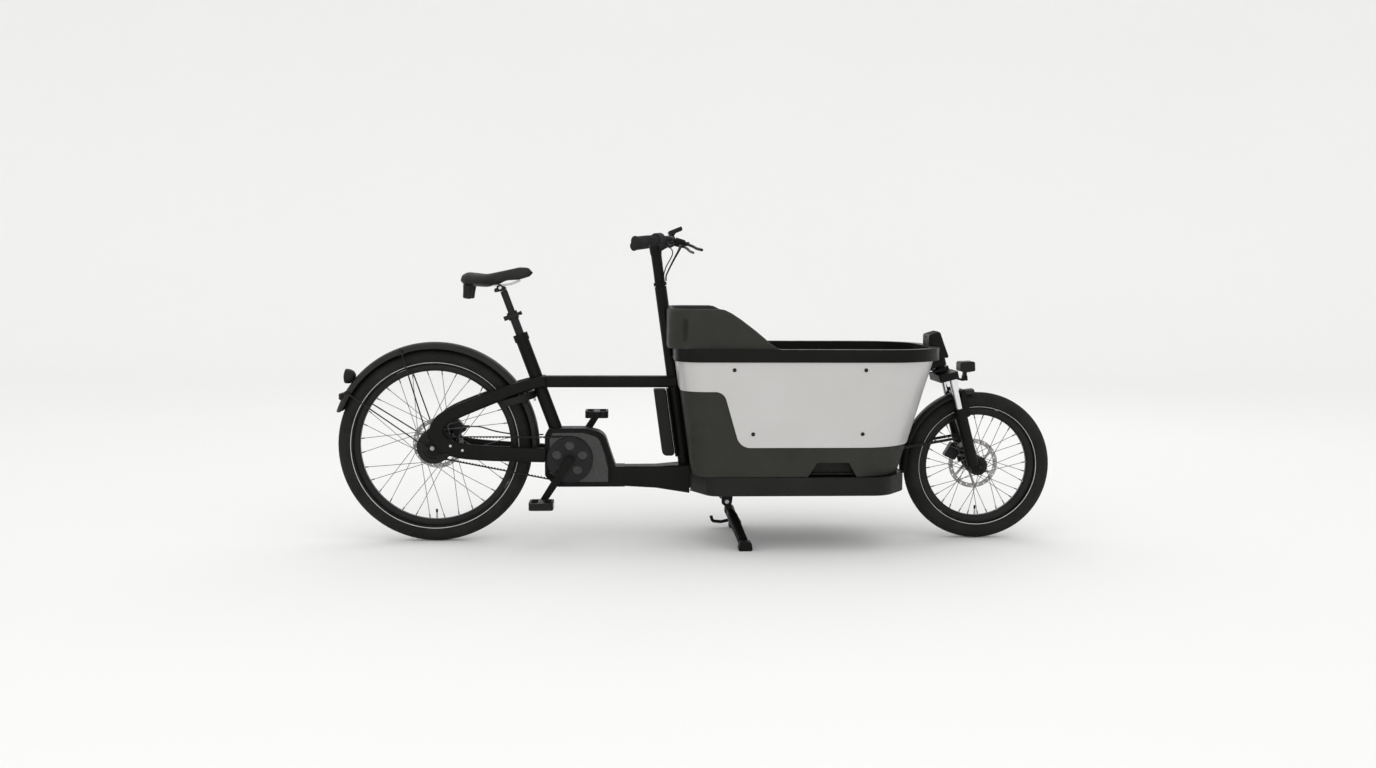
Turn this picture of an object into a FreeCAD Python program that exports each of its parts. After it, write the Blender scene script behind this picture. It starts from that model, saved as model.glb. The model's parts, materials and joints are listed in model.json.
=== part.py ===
"""Front-loading cargo bicycle with a moulded tub, belt drive and cable steering.

Units are millimetres. Inside this file x runs forward from the rear axle, y to the rider's left and z up
from the ground. Every piece is moved back by half the bicycle's reach when it is written, so that the
origin of the finished part lies on the ground under the middle of the bicycle.
"""
import FreeCAD, Part
import os
from math import acos, atan2, cos, hypot, pi, radians, sin, tan

V = FreeCAD.Vector

# ---- driving dimensions ------------------------------------------------------------------------------
TYRE_WIDTH = 62.0
REAR_BEAD, FRONT_BEAD = 559.0, 406.0            # rim seat diameters, 26 inch and 20 inch
REAR_R = REAR_BEAD / 2 + TYRE_WIDTH             # outer radius of the rear tyre
FRONT_R = FRONT_BEAD / 2 + TYRE_WIDTH
WHEELBASE = 1940.0
SPOKES = 32
SPOKE_R = 1.1
REAR_RIM_INNER, FRONT_RIM_INNER = 264.0, 183.0
ROTOR_R = 90.0
ROTOR_T = 1.9
REAR_ROTOR_Y, FRONT_ROTOR_Y = 50.0, 37.0

FENDER_R = REAR_R + 24.5                        # outer radius of the rear mudguard
FENDER_HALF = 36.0
FENDER_FROM, FENDER_TO = -1.0, 161.0            # degrees round the rear axle
FRONT_FENDER_R = FRONT_R + 14.0
FRONT_FENDER_FROM, FRONT_FENDER_TO = 94.0, 186.0

BB_X, BB_Z = 473.0, 294.0                       # crank axle
BELT_PITCH, BELT_WIDTH, BELT_Y = 11.0, 12.0, -50.0
FRONT_TEETH, REAR_TEETH = 46, 20
CRANK_LENGTH = 170.0
CRANK_ANGLE = radians(237.0)                    # direction of the right crank arm at rest
CRANK_Y = 90.0
PEDAL_Y = 148.0

SEAT_TILT = radians(20.4)                       # seat tube, measured from the vertical
SEAT_X, SEAT_Z = 332.5, 644.0                   # a point on the seat tube's axis
SEAT_TUBE_R, POST_SLEEVE_R, POST_R = 23.0, 15.0, 12.7
SEAT_TUBE_TOP_Z, SLEEVE_TOP_Z, POST_TOP_Z = 728.0, 812.0, 893.0

MAST_TILT = radians(7.82)                       # steering mast, measured from the vertical
MAST_X, MAST_Z = 794.0, 905.0                   # top of the mast's axis
MAST_R = 21.0
STEM_R = 16.5
COLUMN_R = 12.0
STEM_TOP_Z, COLLAR_TOP_Z = 1036.0, 921.0
BAR_X, BAR_Z = 826.0, 1060.0                    # middle of the handlebar
GRIP_IN, GRIP_OUT = (796.0, 215.0, 1066.0), (703.0, 334.0, 1054.0)
BAR_R, GRIP_R = 11.1, 17.0

HEAD_TILT = radians(14.5)                       # fork axis, measured from the vertical
HEAD_X, HEAD_Z = 1806.0, 600.0                  # crown race on the fork axis
HEAD_TUBE_R = 25.0
LEG_OFFSET = 21.0                               # legs stand ahead of the fork axis by this
LEG_Y = 65.0
STANCHION_R, LOWER_R = 14.0, 20.5
BRACE_TOP_Z, BRACE_T = 545.0, 11.5              # arch of the fork lowers over the tyre

TUB_TOP_Z, TUB_LOW_Z = 656.0, 262.0
TUB_REAR, TUB_FRONT, TUB_HALF = 846.0, 1744.0, 290.0         # outline at TUB_TOP_Z
REAR_SLOPE, FRONT_SLOPE, SIDE_SLOPE = 0.141, 0.284, 0.081    # how far each wall leans in per unit of depth
TUB_R_REAR, TUB_R_FRONT = 85.0, 195.0
TUB_WALL = 4.0
RIM_TOP_Z = 699.0
RIM_OUT, RIM_IN = 10.0, 24.0                    # rim's reach outside and inside the tub's outline
PANEL_T = 3.0
PANEL_LOW_Z, PANEL_STEP_Z = 365.0, 556.0
STEP_Z, STEP_X = (264.0, 312.0), (1272.0, 1321.0, 1429.0, 1473.0)
STEP_DEPTH = 60.0
PAN_LOW_Z, PAN_REAR = 198.0, 897.0
BENCH_WALL = 6.0
SHELL_REAR, SHELL_HALF, SHELL_TOP_Z, SHELL_T = 815.0, 285.0, 833.0, 26.0
TUBE_HALF, TUBE_DEPTH = 26.0, 34.0              # front down tube
CHANNEL_HALF = 40.0                             # recess for it and the steering cables in the front wall
DRUM_R = 30.0                                   # steering cable drums on the mast and on the fork
CABLE_Y, CABLE_R = 33.0, 2.6
CABLE_X = 940.0                                 # where the steering cables pass the tray
STUD_X, STUD_Z = (1010.0, 1440.0), 680.0        # canopy studs on the rim

STAND_X, STAND_Z = 1030.0, 146.0                # kickstand pivot
STAND_FOOT_X, STAND_FOOT_Y = 1086.0, 205.0

LOCK_X, LOCK_Z, LOCK_TILT = 278.7, 503.7, radians(16.0)      # centre and lean of the ring lock
LOCK_R, SHACKLE_R, LOCK_MOUTH = 68.0, 5.0, 38.0
LOCK_TAIL, LOCK_ARC, LOCK_TRAVEL = -12.0, 134.0, 124.0      # degrees round the ring

seat_dir = V(-sin(SEAT_TILT), 0, cos(SEAT_TILT))
mast_dir = V(-sin(MAST_TILT), 0, cos(MAST_TILT))
head_dir = V(-sin(HEAD_TILT), 0, cos(HEAD_TILT))
lock_axis = V(-sin(LOCK_TILT), 0, cos(LOCK_TILT))
Y, Z = V(0, 1, 0), V(0, 0, 1)


def on_axis(point, direction, z):
    """The point of an axis at height z."""
    return point + direction * ((z - point.z) / direction.z)


def seat_at(z):
    return on_axis(V(SEAT_X, 0, SEAT_Z), seat_dir, z)


def mast_at(z):
    return on_axis(V(MAST_X, 0, MAST_Z), mast_dir, z)


def head_at(z):
    return on_axis(V(HEAD_X, 0, HEAD_Z), head_dir, z)


def leg_at(z, side):
    return on_axis(V(HEAD_X, 0, HEAD_Z) + V(LEG_OFFSET, 0, 0), head_dir, z) + V(0, side * LEG_Y, 0)


# ---- shape helpers -----------------------------------------------------------------------------------
parts = {}


def keep(name, *shapes):
    """Adds solids to the node of that name."""
    parts.setdefault(name, []).extend(s for shape in shapes for s in shape.Solids)


def biggest(shape):
    """The largest solid of a cut shape, without its crumbs."""
    return max(shape.Solids, key=lambda s: s.Volume)


def rod(a, b, r):
    """Solid cylinder from a to b."""
    return Part.makeCylinder(r, (b - a).Length, a, b - a)


def sleeve(a, b, outer, inner):
    """Hollow cylinder from a to b, open at both ends."""
    u = (b - a).normalize()
    return rod(a, b, outer).cut(rod(a - u, b + u, inner))


def fuse(first, *rest):
    return first.fuse(list(rest)).removeSplitter() if rest else first


def corner_wire(points, radii, closed=True):
    """Straight runs joined by tangent arcs; radii is one number or one for each point."""
    pts = [V(*p) for p in points]
    n = len(pts)
    radii = radii if isinstance(radii, (list, tuple)) else [radii] * n
    turns = []
    for i, p in enumerate(pts):
        if not closed and i in (0, n - 1):
            turns.append((p, p, None))
            continue
        u, v = (pts[i - 1] - p).normalize(), (pts[(i + 1) % n] - p).normalize()
        half = u.getAngle(v) / 2
        if radii[i] <= 0 or half > pi / 2 - 1e-4:
            turns.append((p, p, None))
            continue
        reach = radii[i] / tan(half)
        centre = p + (u + v).normalize() * (radii[i] / sin(half))
        turns.append((p + u * reach, p + v * reach, centre + (p - centre).normalize() * radii[i]))
    edges = []
    for i in range(n if closed else n - 1):
        start, end = turns[i][1], turns[(i + 1) % n][0]
        if (end - start).Length > 1e-6:
            edges.append(Part.LineSegment(start, end).toShape())
        into, out, mid = turns[(i + 1) % n]
        if mid is not None:
            edges.append(Part.Arc(into, mid, out).toShape())
    return Part.Wire(Part.__sortEdges__(edges))


def side_plate(points, radii, y0, y1):
    """Outline in the x-z plane, given as (x, z) corners, extruded from y0 to y1."""
    wire = corner_wire([(x, y0, z) for x, z in points], radii)
    return Part.Face(wire).extrude(V(0, y1 - y0, 0))


def plan_plate(points, radii, z0, z1):
    """Outline in the x-y plane extruded from z0 to z1."""
    wire = corner_wire([(x, y, z0) for x, y in points], radii)
    return Part.Face(wire).extrude(V(0, 0, z1 - z0))


def turned(profile, base, axis):
    """Profile of (radius, height) corners turned round an axis that starts at base."""
    wire = Part.makePolygon([V(r, 0, h) for r, h in profile] + [V(profile[0][0], 0, profile[0][1])])
    solid = Part.Face(wire).revolve(V(0, 0, 0), Z, 360)
    solid.Placement = FreeCAD.Placement(base, FreeCAD.Rotation(Z, axis))
    return solid


def wheel_turned(profile, x, z):
    """Profile of (radius, y) corners turned round a wheel axle at x, z."""
    wire = Part.makePolygon([V(x + r, y, z) for r, y in profile + profile[:1]])
    return Part.Face(wire).revolve(V(x, 0, z), Y, 360)


def arc_band(x, z, inner, outer, half, start, end):
    """Curved strip round a wheel axle between two radii and two angles in degrees, 2 * half wide."""
    a, b = radians(start), radians(end)

    def at(r, t):
        return V(x + r * cos(t), -half, z + r * sin(t))

    edges = [
        Part.Arc(at(outer, a), at(outer, (a + b) / 2), at(outer, b)).toShape(),
        Part.LineSegment(at(outer, b), at(inner, b)).toShape(),
        Part.Arc(at(inner, b), at(inner, (a + b) / 2), at(inner, a)).toShape(),
        Part.LineSegment(at(inner, a), at(outer, a)).toShape(),
    ]
    return Part.Face(Part.Wire(edges)).extrude(V(0, 2 * half, 0))


def piped(points, radius, tube_r):
    """Round tube of radius tube_r along straight runs joined by arcs."""
    path = corner_wire(points, radius, closed=False)
    start, along = V(*points[0]), (V(*points[1]) - V(*points[0])).normalize()
    ring = Part.Wire([Part.Circle(start, along, tube_r).toShape()])
    return path.makePipeShell([ring], True, False)


def arc_radii(points):
    """The largest arc that the two runs at each inner point allow."""
    pts = [V(*p) for p in points]
    radii = [0.0]
    for a, b, c in zip(pts, pts[1:], pts[2:]):
        turn = (b - a).getAngle(c - b)
        radii.append(0.45 * min((b - a).Length, (c - b).Length) / tan(turn / 2) if turn > 1e-4 else 0.0)
    return radii + [0.0]


# ---- wheels ------------------------------------------------------------------------------------------
def tyre(x, radius, bead):
    """Tyre of nearly round section, open along the rim well."""
    centre = radius - TYRE_WIDTH / 2
    outer = Part.makeTorus(centre, TYRE_WIDTH / 2, V(0, 0, 0), Y)
    inner = Part.makeTorus(centre, TYRE_WIDTH / 2 - 4.5, V(0, 0, 0), Y)
    ring = outer.cut(inner).cut(Part.makeCylinder(bead / 2 + 6.4, 100, V(0, -50, 0), Y))
    ring.translate(V(x, 0, radius))
    return ring


def rim(x, axle_z, bead, inner_r):
    """Double-walled rim whose flanges hold the tyre's beads."""
    top = bead / 2 + 6
    profile = [(inner_r, -8), (inner_r, 8), (bead / 2 - 6, 14.5), (top, 14.5), (top, 12),
               (bead / 2, 12), (bead / 2 - 3, -0.01), (bead / 2, -12), (top, -12), (top, -14.5),
               (bead / 2 - 6, -14.5)]
    return wheel_turned(profile, x, axle_z)


def spokes(x, axle_z, rim_r, flange_r, flange_y, phase):
    """Crossed spokes with nipples, eight pairs a side, clear of one another where they cross."""
    found = []
    for k in range(SPOKES):
        side = 1 if k % 2 else -1
        leading = 1 if (k // 2) % 2 else -1
        at_rim = phase + 2 * pi * k / SPOKES
        at_hub = at_rim + leading * radians(62)
        lift = flange_y + leading * 3.2
        hub_end = V(x + flange_r * cos(at_hub), side * lift, axle_z + flange_r * sin(at_hub))
        tip_r = rim_r - 0.6
        rim_end = V(x + tip_r * cos(at_rim), side * (2.5 + leading), axle_z + tip_r * sin(at_rim))
        along = (hub_end - rim_end).normalize()
        found.append(fuse(rod(hub_end, rim_end, SPOKE_R), rod(rim_end, rim_end + along * 14, 2.1)))
    return found


def rotor(x, axle_z, y):
    """Brake disc: a slotted friction ring on six swept arms."""
    ring = wheel_turned([(ROTOR_R - 16, y), (ROTOR_R, y), (ROTOR_R, y + ROTOR_T), (ROTOR_R - 16, y + ROTOR_T)],
                        x, axle_z)
    centre = wheel_turned([(19, y), (30, y), (30, y + ROTOR_T), (19, y + ROTOR_T)], x, axle_z)
    arms = []
    for k in range(6):
        a = 2 * pi * k / 6
        b = a + radians(34)
        root, tip = (28 * cos(a), 28 * sin(a)), ((ROTOR_R - 14) * cos(b), (ROTOR_R - 14) * sin(b))
        nx, nz = -(tip[1] - root[1]), tip[0] - root[0]
        size = hypot(nx, nz)
        nx, nz = 4.5 * nx / size, 4.5 * nz / size
        corners = [(root[0] + nx, root[1] + nz), (tip[0] + nx, tip[1] + nz),
                   (tip[0] - nx, tip[1] - nz), (root[0] - nx, root[1] - nz)]
        arms.append(side_plate([(x + u, axle_z + w) for u, w in corners], 0, y, y + ROTOR_T))
    disc = fuse(ring, centre, *arms)
    for k in range(24):
        a = 2 * pi * k / 24
        r = ROTOR_R - 5 - 5 * (k % 2)
        disc = disc.cut(rod(V(x + r * cos(a), y - 5, axle_z + r * sin(a)),
                            V(x + r * cos(a), y + 5, axle_z + r * sin(a)), 2.4))
    return disc


def wheels():
    rear_phase = radians(34.2 + 360 / SPOKES / 2)      # the shackle's gap in the spokes
    keep("rear_tyre", tyre(0, REAR_R, REAR_BEAD))
    keep("rear_rim", rim(0, REAR_R, REAR_BEAD, REAR_RIM_INNER))
    keep("rear_spokes", *spokes(0, REAR_R, REAR_RIM_INNER, 57, 27, rear_phase))
    keep("rear_hub", wheel_turned([(8.3, -40), (40, -40), (49, -34), (49, -28.5), (61, -28.5), (61, -25.5),
                                   (52, -25.5), (52, 25.5), (61, 25.5), (61, 28.5), (49, 28.5), (49, 34),
                                   (28, 40), (28, REAR_ROTOR_Y), (8.3, REAR_ROTOR_Y)], 0, REAR_R))
    keep("rear_hub", rotor(0, REAR_R, REAR_ROTOR_Y))
    keep("front_tyre", tyre(WHEELBASE, FRONT_R, FRONT_BEAD))
    keep("front_rim", rim(WHEELBASE, FRONT_R, FRONT_BEAD, FRONT_RIM_INNER))
    keep("front_spokes", *spokes(WHEELBASE, FRONT_R, FRONT_RIM_INNER, 31, 26, 0.06))
    keep("front_hub", wheel_turned([(7.3, -38), (16, -38), (19, -27.5), (35, -27.5), (35, -24.5), (19, -24.5),
                                    (19, 24.5), (35, 24.5), (35, 27.5), (25, 27.5), (25, FRONT_ROTOR_Y),
                                    (7.3, FRONT_ROTOR_Y)], WHEELBASE, FRONT_R))
    keep("front_hub", rotor(WHEELBASE, FRONT_R, FRONT_ROTOR_Y))


# ---- belt drive --------------------------------------------------------------------------------------
FRONT_PITCH_R = FRONT_TEETH * BELT_PITCH / (2 * pi)
REAR_PITCH_R = REAR_TEETH * BELT_PITCH / (2 * pi)
BELT_BACK = 3.2                                  # belt band, outside the pitch line
TOOTH_DROP = 3.4                                 # belt teeth below the pitch line


def pulley(x, z, pitch_r, teeth, bore):
    """Toothed pulley, tips just inside the belt's band, with spokes left by round windows."""
    tip = pitch_r - 0.6
    disc = wheel_turned([(bore, BELT_Y - 6), (tip, BELT_Y - 6), (tip, BELT_Y + 6), (bore, BELT_Y + 6)], x, z)
    gaps = []
    for k in range(teeth):
        a = 2 * pi * (k + 0.5) / teeth
        gaps.append(rod(V(x + tip * cos(a), BELT_Y - 7, z + tip * sin(a)),
                        V(x + tip * cos(a), BELT_Y + 7, z + tip * sin(a)), 2.7))
    disc = disc.cut(gaps)
    if pitch_r > 60:
        windows = []
        for k in range(5):
            a = 2 * pi * k / 5 + 0.3
            windows.append(rod(V(x + 48 * cos(a), BELT_Y - 7, z + 48 * sin(a)),
                               V(x + 48 * cos(a), BELT_Y + 7, z + 48 * sin(a)), 17))
        disc = disc.cut(windows)
    return disc


def belt():
    """Closed band round both pulleys, toothed along its two straight runs."""
    dx, dz = BB_X, BB_Z - REAR_R
    span = hypot(dx, dz)
    lean, open_angle = atan2(dz, dx), acos((REAR_PITCH_R - FRONT_PITCH_R) / span)

    def loop(extra):
        edges = []
        ends = []
        for sign in (1, -1):
            a = lean + sign * open_angle
            rear = V((REAR_PITCH_R + extra) * cos(a), BELT_Y - 6, REAR_R + (REAR_PITCH_R + extra) * sin(a))
            front = V(BB_X + (FRONT_PITCH_R + extra) * cos(a), BELT_Y - 6,
                      BB_Z + (FRONT_PITCH_R + extra) * sin(a))
            ends.append((rear, front))
            edges.append(Part.LineSegment(rear, front).toShape())
        back = V((REAR_PITCH_R + extra) * cos(lean + pi), BELT_Y - 6,
                 REAR_R + (REAR_PITCH_R + extra) * sin(lean + pi))
        nose = V(BB_X + (FRONT_PITCH_R + extra) * cos(lean), BELT_Y - 6,
                 BB_Z + (FRONT_PITCH_R + extra) * sin(lean))
        edges.append(Part.Arc(ends[0][0], back, ends[1][0]).toShape())
        edges.append(Part.Arc(ends[0][1], nose, ends[1][1]).toShape())
        return Part.Face(Part.Wire(Part.__sortEdges__(edges))).extrude(V(0, BELT_WIDTH, 0)), ends

    outside, _ = loop(BELT_BACK)
    inside, runs = loop(0.0)
    band = outside.cut(inside)
    teeth = []
    for sign, (rear, front) in zip((1, -1), runs):
        along = (front - rear).normalize()
        inward = V(along.z, 0, -along.x) * sign
        count = int((front - rear).Length / BELT_PITCH)
        for k in range(2, count - 2):
            root = rear + along * (k * BELT_PITCH)
            corners = [root - along * 3.0 - inward * 0.5, root + along * 3.0 - inward * 0.5,
                       root + along * 2.0 + inward * TOOTH_DROP, root - along * 2.0 + inward * TOOTH_DROP]
            face = Part.Face(Part.makePolygon(corners + corners[:1]))
            teeth.append(face.extrude(V(0, BELT_WIDTH, 0)))
    return band.fuse(teeth)


def drive():
    keep("drive_belt", belt())
    keep("rear_pulley", pulley(0, REAR_R, REAR_PITCH_R, REAR_TEETH, 8.3))
    keep("crankset", pulley(BB_X, BB_Z, FRONT_PITCH_R, FRONT_TEETH, 12.0))
    arms = []
    for side, turn in ((-1, 0), (1, pi)):
        a = CRANK_ANGLE + turn
        tip = V(BB_X + CRANK_LENGTH * cos(a), 0, BB_Z + CRANK_LENGTH * sin(a))
        centre, across = V(BB_X, 0, BB_Z), V(-sin(a), 0, cos(a))
        corners = [centre + across * 15, tip + across * 11.5, tip - across * 11.5, centre - across * 15]
        blade = side_plate([(p.x, p.z) for p in corners], 0, side * CRANK_Y - 7, side * CRANK_Y + 7)
        ends = [rod(V(BB_X, side * CRANK_Y - 8, BB_Z), V(BB_X, side * CRANK_Y + 8, BB_Z), 17),
                rod(V(tip.x, side * CRANK_Y - 7, tip.z), V(tip.x, side * CRANK_Y + 7, tip.z), 12.5)]
        arm = fuse(blade, *ends).cut(rod(V(tip.x, side * 60, tip.z), V(tip.x, side * 130, tip.z), 6.2))
        arms.append(arm)
        name = "pedal_right" if side < 0 else "pedal_left"
        keep(name, *pedal(tip, side))
    axle = rod(V(BB_X, -CRANK_Y + 8, BB_Z), V(BB_X, CRANK_Y - 8, BB_Z), 11.9)
    keep("crankset", *arms)
    keep("crankset", axle)


def pedal(tip, side):
    """Platform pedal: hollow cage with ribs on a through spindle."""
    y0, y1 = side * (PEDAL_Y - 46), side * (PEDAL_Y + 46)
    low, high = min(y0, y1), max(y0, y1)
    body = plan_plate([(tip.x - 42, low), (tip.x + 42, low), (tip.x + 42, high), (tip.x - 42, high)], 14,
                      tip.z - 12.5, tip.z + 12.5)
    for dx in (-22.5, 22.5):
        body = body.cut(plan_plate([(tip.x + dx - 11, low + 10), (tip.x + dx + 11, low + 10),
                                    (tip.x + dx + 11, high - 10), (tip.x + dx - 11, high - 10)], 4,
                                   tip.z - 20, tip.z + 20))
    start = V(tip.x, side * (CRANK_Y - 6), tip.z)
    spindle = rod(start, V(tip.x, side * (PEDAL_Y - 40), tip.z), 5.8)
    body = fuse(body, spindle)
    end = side * (PEDAL_Y + 46)
    lens = Part.makeBox(30, 3, 11, V(tip.x - 15, min(end, end + side * 3), tip.z - 5.5))
    return [body, lens]


# ---- frame -------------------------------------------------------------------------------------------
def stay(side):
    """One-piece rear stay: a seat stay and a chain stay joined by a hook round the axle."""
    outer = [(387, 550), (387, 590), (340, 584), (282, 565), (204, 533), (63, 481), (-6, 443), (-16, 400),
             (-9, 358), (18, 330), (61, 309), (129, 299), (251, 291), (386, 287), (386, 338), (261, 345),
             (129, 353), (84, 361), (50, 372), (36, 398), (53, 435), (179, 486), (277, 523), (350, 545)]
    radii = [0, 0, 40, 60, 60, 60, 40, 45, 40, 40, 60, 60, 60, 0, 0, 60, 60, 30, 16, 16, 20, 60, 60, 40]
    profile = side_plate(outer, radii, -110, 110)
    top_band = plan_plate([(-40, 67), (90, 67), (200, 50), (300, 42), (345, 24), (390, 16), (390, 44), (345, 52),
                           (300, 66), (200, 78), (90, 93), (-40, 93)], 0, 398, 700)
    low_band = plan_plate([(-40, 67), (90, 67), (170, 60), (300, 44), (370, 42), (374, 30), (400, 30), (400, 72),
                           (300, 76), (170, 86), (90, 93), (-40, 93)], 0, 200, 398)
    shape = profile.common(fuse(top_band, low_band))
    if side < 0:
        shape = shape.mirror(V(0, 0, 0), Y)
    axle_hole = rod(V(0, side * 60, REAR_R), V(0, side * 100, REAR_R), 8.05)
    ear = side_plate([(-26, 330), (20, 322), (24, 352), (10, 380), (-24, 374)], [14, 0, 0, 0, 14],
                     min(side * 69, side * 78), max(side * 69, side * 78))
    return fuse(shape.cut(seat_tube_solid(SEAT_TUBE_R)), ear).cut(axle_hole)


def rear_axle():
    """Through axle with stepped ends, and the disc with a curved slot that covers the belt pulley."""
    centre = V(0, 0, REAR_R)
    ends = rod(centre - Y * 101, centre + Y * 112, 6.0)
    keep("rear_axle", fuse(rod(centre - Y * 93, centre + Y * 93, 8.0), ends))
    disc = wheel_turned([(8, -62), (56, -62), (59, -60.5), (59, -58.5), (8, -58.5)], 0, REAR_R)
    keep("rear_axle", disc.cut(arc_band(0, REAR_R, 36, 41, 80, 195, 285)))


def seat_tube_solid(r):
    return rod(seat_at(400.0), seat_at(SEAT_TUBE_TOP_Z), r)


MOTOR_OUTLINE = [(400, 404), (528, 404), (596, 388), (620, 314), (636, 268), (668, 268), (668, 196), (425, 196),
                 (386, 236), (386, 380)]
MOTOR_RADII = [16, 60, 50, 0, 0, 0, 0, 30, 10, 16]


def frame_tubes():
    seat = seat_tube_solid(SEAT_TUBE_R).cut(rod(seat_at(520.0), seat_at(800.0), POST_SLEEVE_R + 0.3))
    mast_base, mast_top = mast_at(262.0), mast_at(MAST_Z)
    hoop = side_plate(MOTOR_OUTLINE, MOTOR_RADII, -40, 40)
    window = side_plate([(410, 398), (522, 398), (582, 380), (606, 314), (618, 262), (618, 204), (432, 204),
                         (394, 244), (394, 374)], [14, 54, 44, 20, 20, 14, 26, 10, 14], -41, 41)
    foot = rod(seat_at(380.0), seat_at(SEAT_TUBE_TOP_Z), SEAT_TUBE_R)
    bracket = hoop.cut(window).cut(foot)
    seat = seat.cut(hoop)
    keep("motor_bracket", bracket)
    collar = sleeve(seat_at(SEAT_TUBE_TOP_Z - 16), seat_at(SEAT_TUBE_TOP_Z + 8), SEAT_TUBE_R + 3.5,
                    SEAT_TUBE_R + 0.05)
    keep("seat_tube", seat)
    keep("seat_tube", collar)
    mast = sleeve(mast_base, mast_top, MAST_R, COLUMN_R + 3)
    races = [sleeve(mast_at(z), mast_at(z + 12), COLUMN_R + 2.9, COLUMN_R + 0.06) for z in (275.0, 885.0)]
    keep("steering_mast", mast)
    keep("steering_mast", *races)
    bar = Part.makeBox(850 - 340, 56, 40, V(340, -28, 548))
    bar = bar.makeFillet(10, [e for e in bar.Edges if abs(e.BoundBox.XLength - 510) < 1e-6])
    cut_back = rod(seat_at(400.0), seat_at(SEAT_TUBE_TOP_Z), SEAT_TUBE_R)
    stays = parts["rear_stays"]
    bar = bar.cut(cut_back).cut(stays).cut(rod(mast_base, mast_top, MAST_R))
    keep("top_tube", biggest(bar))
    keel_sections = []
    for x, low, high, half in ((668.0, 196.0, 268.0, 40.0), (780.0, 190.0, 268.0, 44.0), (PAN_REAR, 174.0, 276.0, 62.0)):
        keel_sections.append(corner_wire([(x, -half, low), (x, half, low), (x, half, high), (x, -half, high)], 14))
    keel = Part.makeLoft(keel_sections, True, True)
    bore = rod(mast_at(120.0), mast_at(400.0), MAST_R)
    pocket = rod(mast_at(120.0), mast_at(190.0), DRUM_R + 3)
    keep("keel_tube", keel.cut(bore).cut(pocket))


def down_tube_outline(back, ahead, low, high):
    """Side outline of a strip that follows the tub's front wall."""
    return [(front_x(low) - back, low), (front_x(low) + ahead, low), (front_x(high) + ahead, high),
            (front_x(high) - back, high)]


def front_x(z):
    return TUB_FRONT - (TUB_TOP_Z - z) * FRONT_SLOPE


def rear_x(z):
    return TUB_REAR + (TUB_TOP_Z - z) * REAR_SLOPE


def front_frame():
    """Head tube with the down tube and gusset that tie it to the rails under the tub, and those rails."""
    strip = side_plate(down_tube_outline(TUBE_DEPTH + 2, -2, 236.0, 650.0), 0, -TUBE_HALF, TUBE_HALF)
    gusset = side_plate([(front_x(594) - 8, 594), (head_at(628).x, 628), (head_at(652).x, 652),
                         (front_x(650) - 8, 650)], 0, -TUBE_HALF, TUBE_HALF)
    shell = rod(head_at(624.0), head_at(728.0), HEAD_TUBE_R)
    ready = fuse(strip, gusset, shell).cut(rod(head_at(560.0), head_at(760.0), 17))
    ready = ready.cut(rod(head_at(540.0), head_at(622.5), DRUM_R + 6))
    keep("front_head_tube", ready)
    rails = []
    for side in (-1, 1):
        rails.append(Part.makeBox(1560 - 903, 36, 30, V(903, side * 130 - 18, 204)))
    for x in (1000.0, 1180.0, 1360.0, 1524.0):
        rails.append(Part.makeBox(36, 224, 28, V(x, -112, 205)))
    for side in (-1, 1):
        corners = [(PAN_REAR + 0.2, 44), (PAN_REAR + 0.2, 62), (902.8, 70), (902.8, 111.8), (1000, 111.8), (1000, 96),
                   (950, 62), (934, 44)]
        rails.append(plan_plate([(x, side * y) for x, y in corners], 0, 205.0, 233.0))
    nose = side_plate([(1560, 204), (front_x(236) - TUBE_DEPTH - 2, 204), (front_x(236) - 2, 235.9), (1560, 235.9)],
                      0, -TUBE_HALF, TUBE_HALF)
    keep("box_subframe", *rails, nose)


def motor():
    """Drive unit inside the hoop, its end covers and the bush that the crank axle turns in."""
    core = side_plate([(414, 392), (518, 392), (574, 374), (598, 312), (608, 262), (608, 212), (436, 212),
                       (402, 246), (402, 366)], [14, 50, 40, 20, 20, 14, 26, 10, 14], -34, 34)
    boss = rod(V(BB_X, 34, BB_Z), V(BB_X, 58, BB_Z), 56)
    bore = rod(V(BB_X, -90, BB_Z), V(BB_X, 90, BB_Z), 12.0)
    keep("motor_unit", fuse(core, boss).cut(bore))
    lid_outline = [(410, 398), (522, 398), (582, 380), (606, 314), (618, 262), (618, 204), (432, 204), (394, 244),
                   (394, 374)]
    lid_radii = [14, 54, 44, 20, 20, 14, 26, 10, 14]
    lids = []
    for y0, y1, hole in ((-40.0, -34.2, 13.0), (34.2, 40.0, 56.4)):
        lid = side_plate(lid_outline, lid_radii, y0, y1)
        lids.append(lid.cut(rod(V(BB_X, -90, BB_Z), V(BB_X, 90, BB_Z), hole)))
    keep("motor_covers", *lids)


def battery():
    """Pack behind the mast on a rail; it hinges out about its lower end."""
    def strip(low, high, back, ahead, half, radius):
        base, tip = mast_at(low), mast_at(high)
        corners = [(base.x + back, low), (base.x + ahead, low), (tip.x + ahead, high), (tip.x + back, high)]
        return side_plate(corners, radius, -half, half)

    keep("battery_pack", strip(306.0, 541.0, -74.0, -30.0, 42.0, [18, 12, 6, 6]))
    keep("steering_mast", strip(300.0, 544.0, -28.5, -21.5, 20.0, 0))


# ---- cargo tub ---------------------------------------------------------------------------------------
def ring_wire(z, rear, front, half, r_rear, r_front):
    points = [(rear, -half, z), (front, -half, z), (front, half, z), (rear, half, z)]
    return corner_wire(points, [r_rear, r_front, r_front, r_rear])


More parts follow.
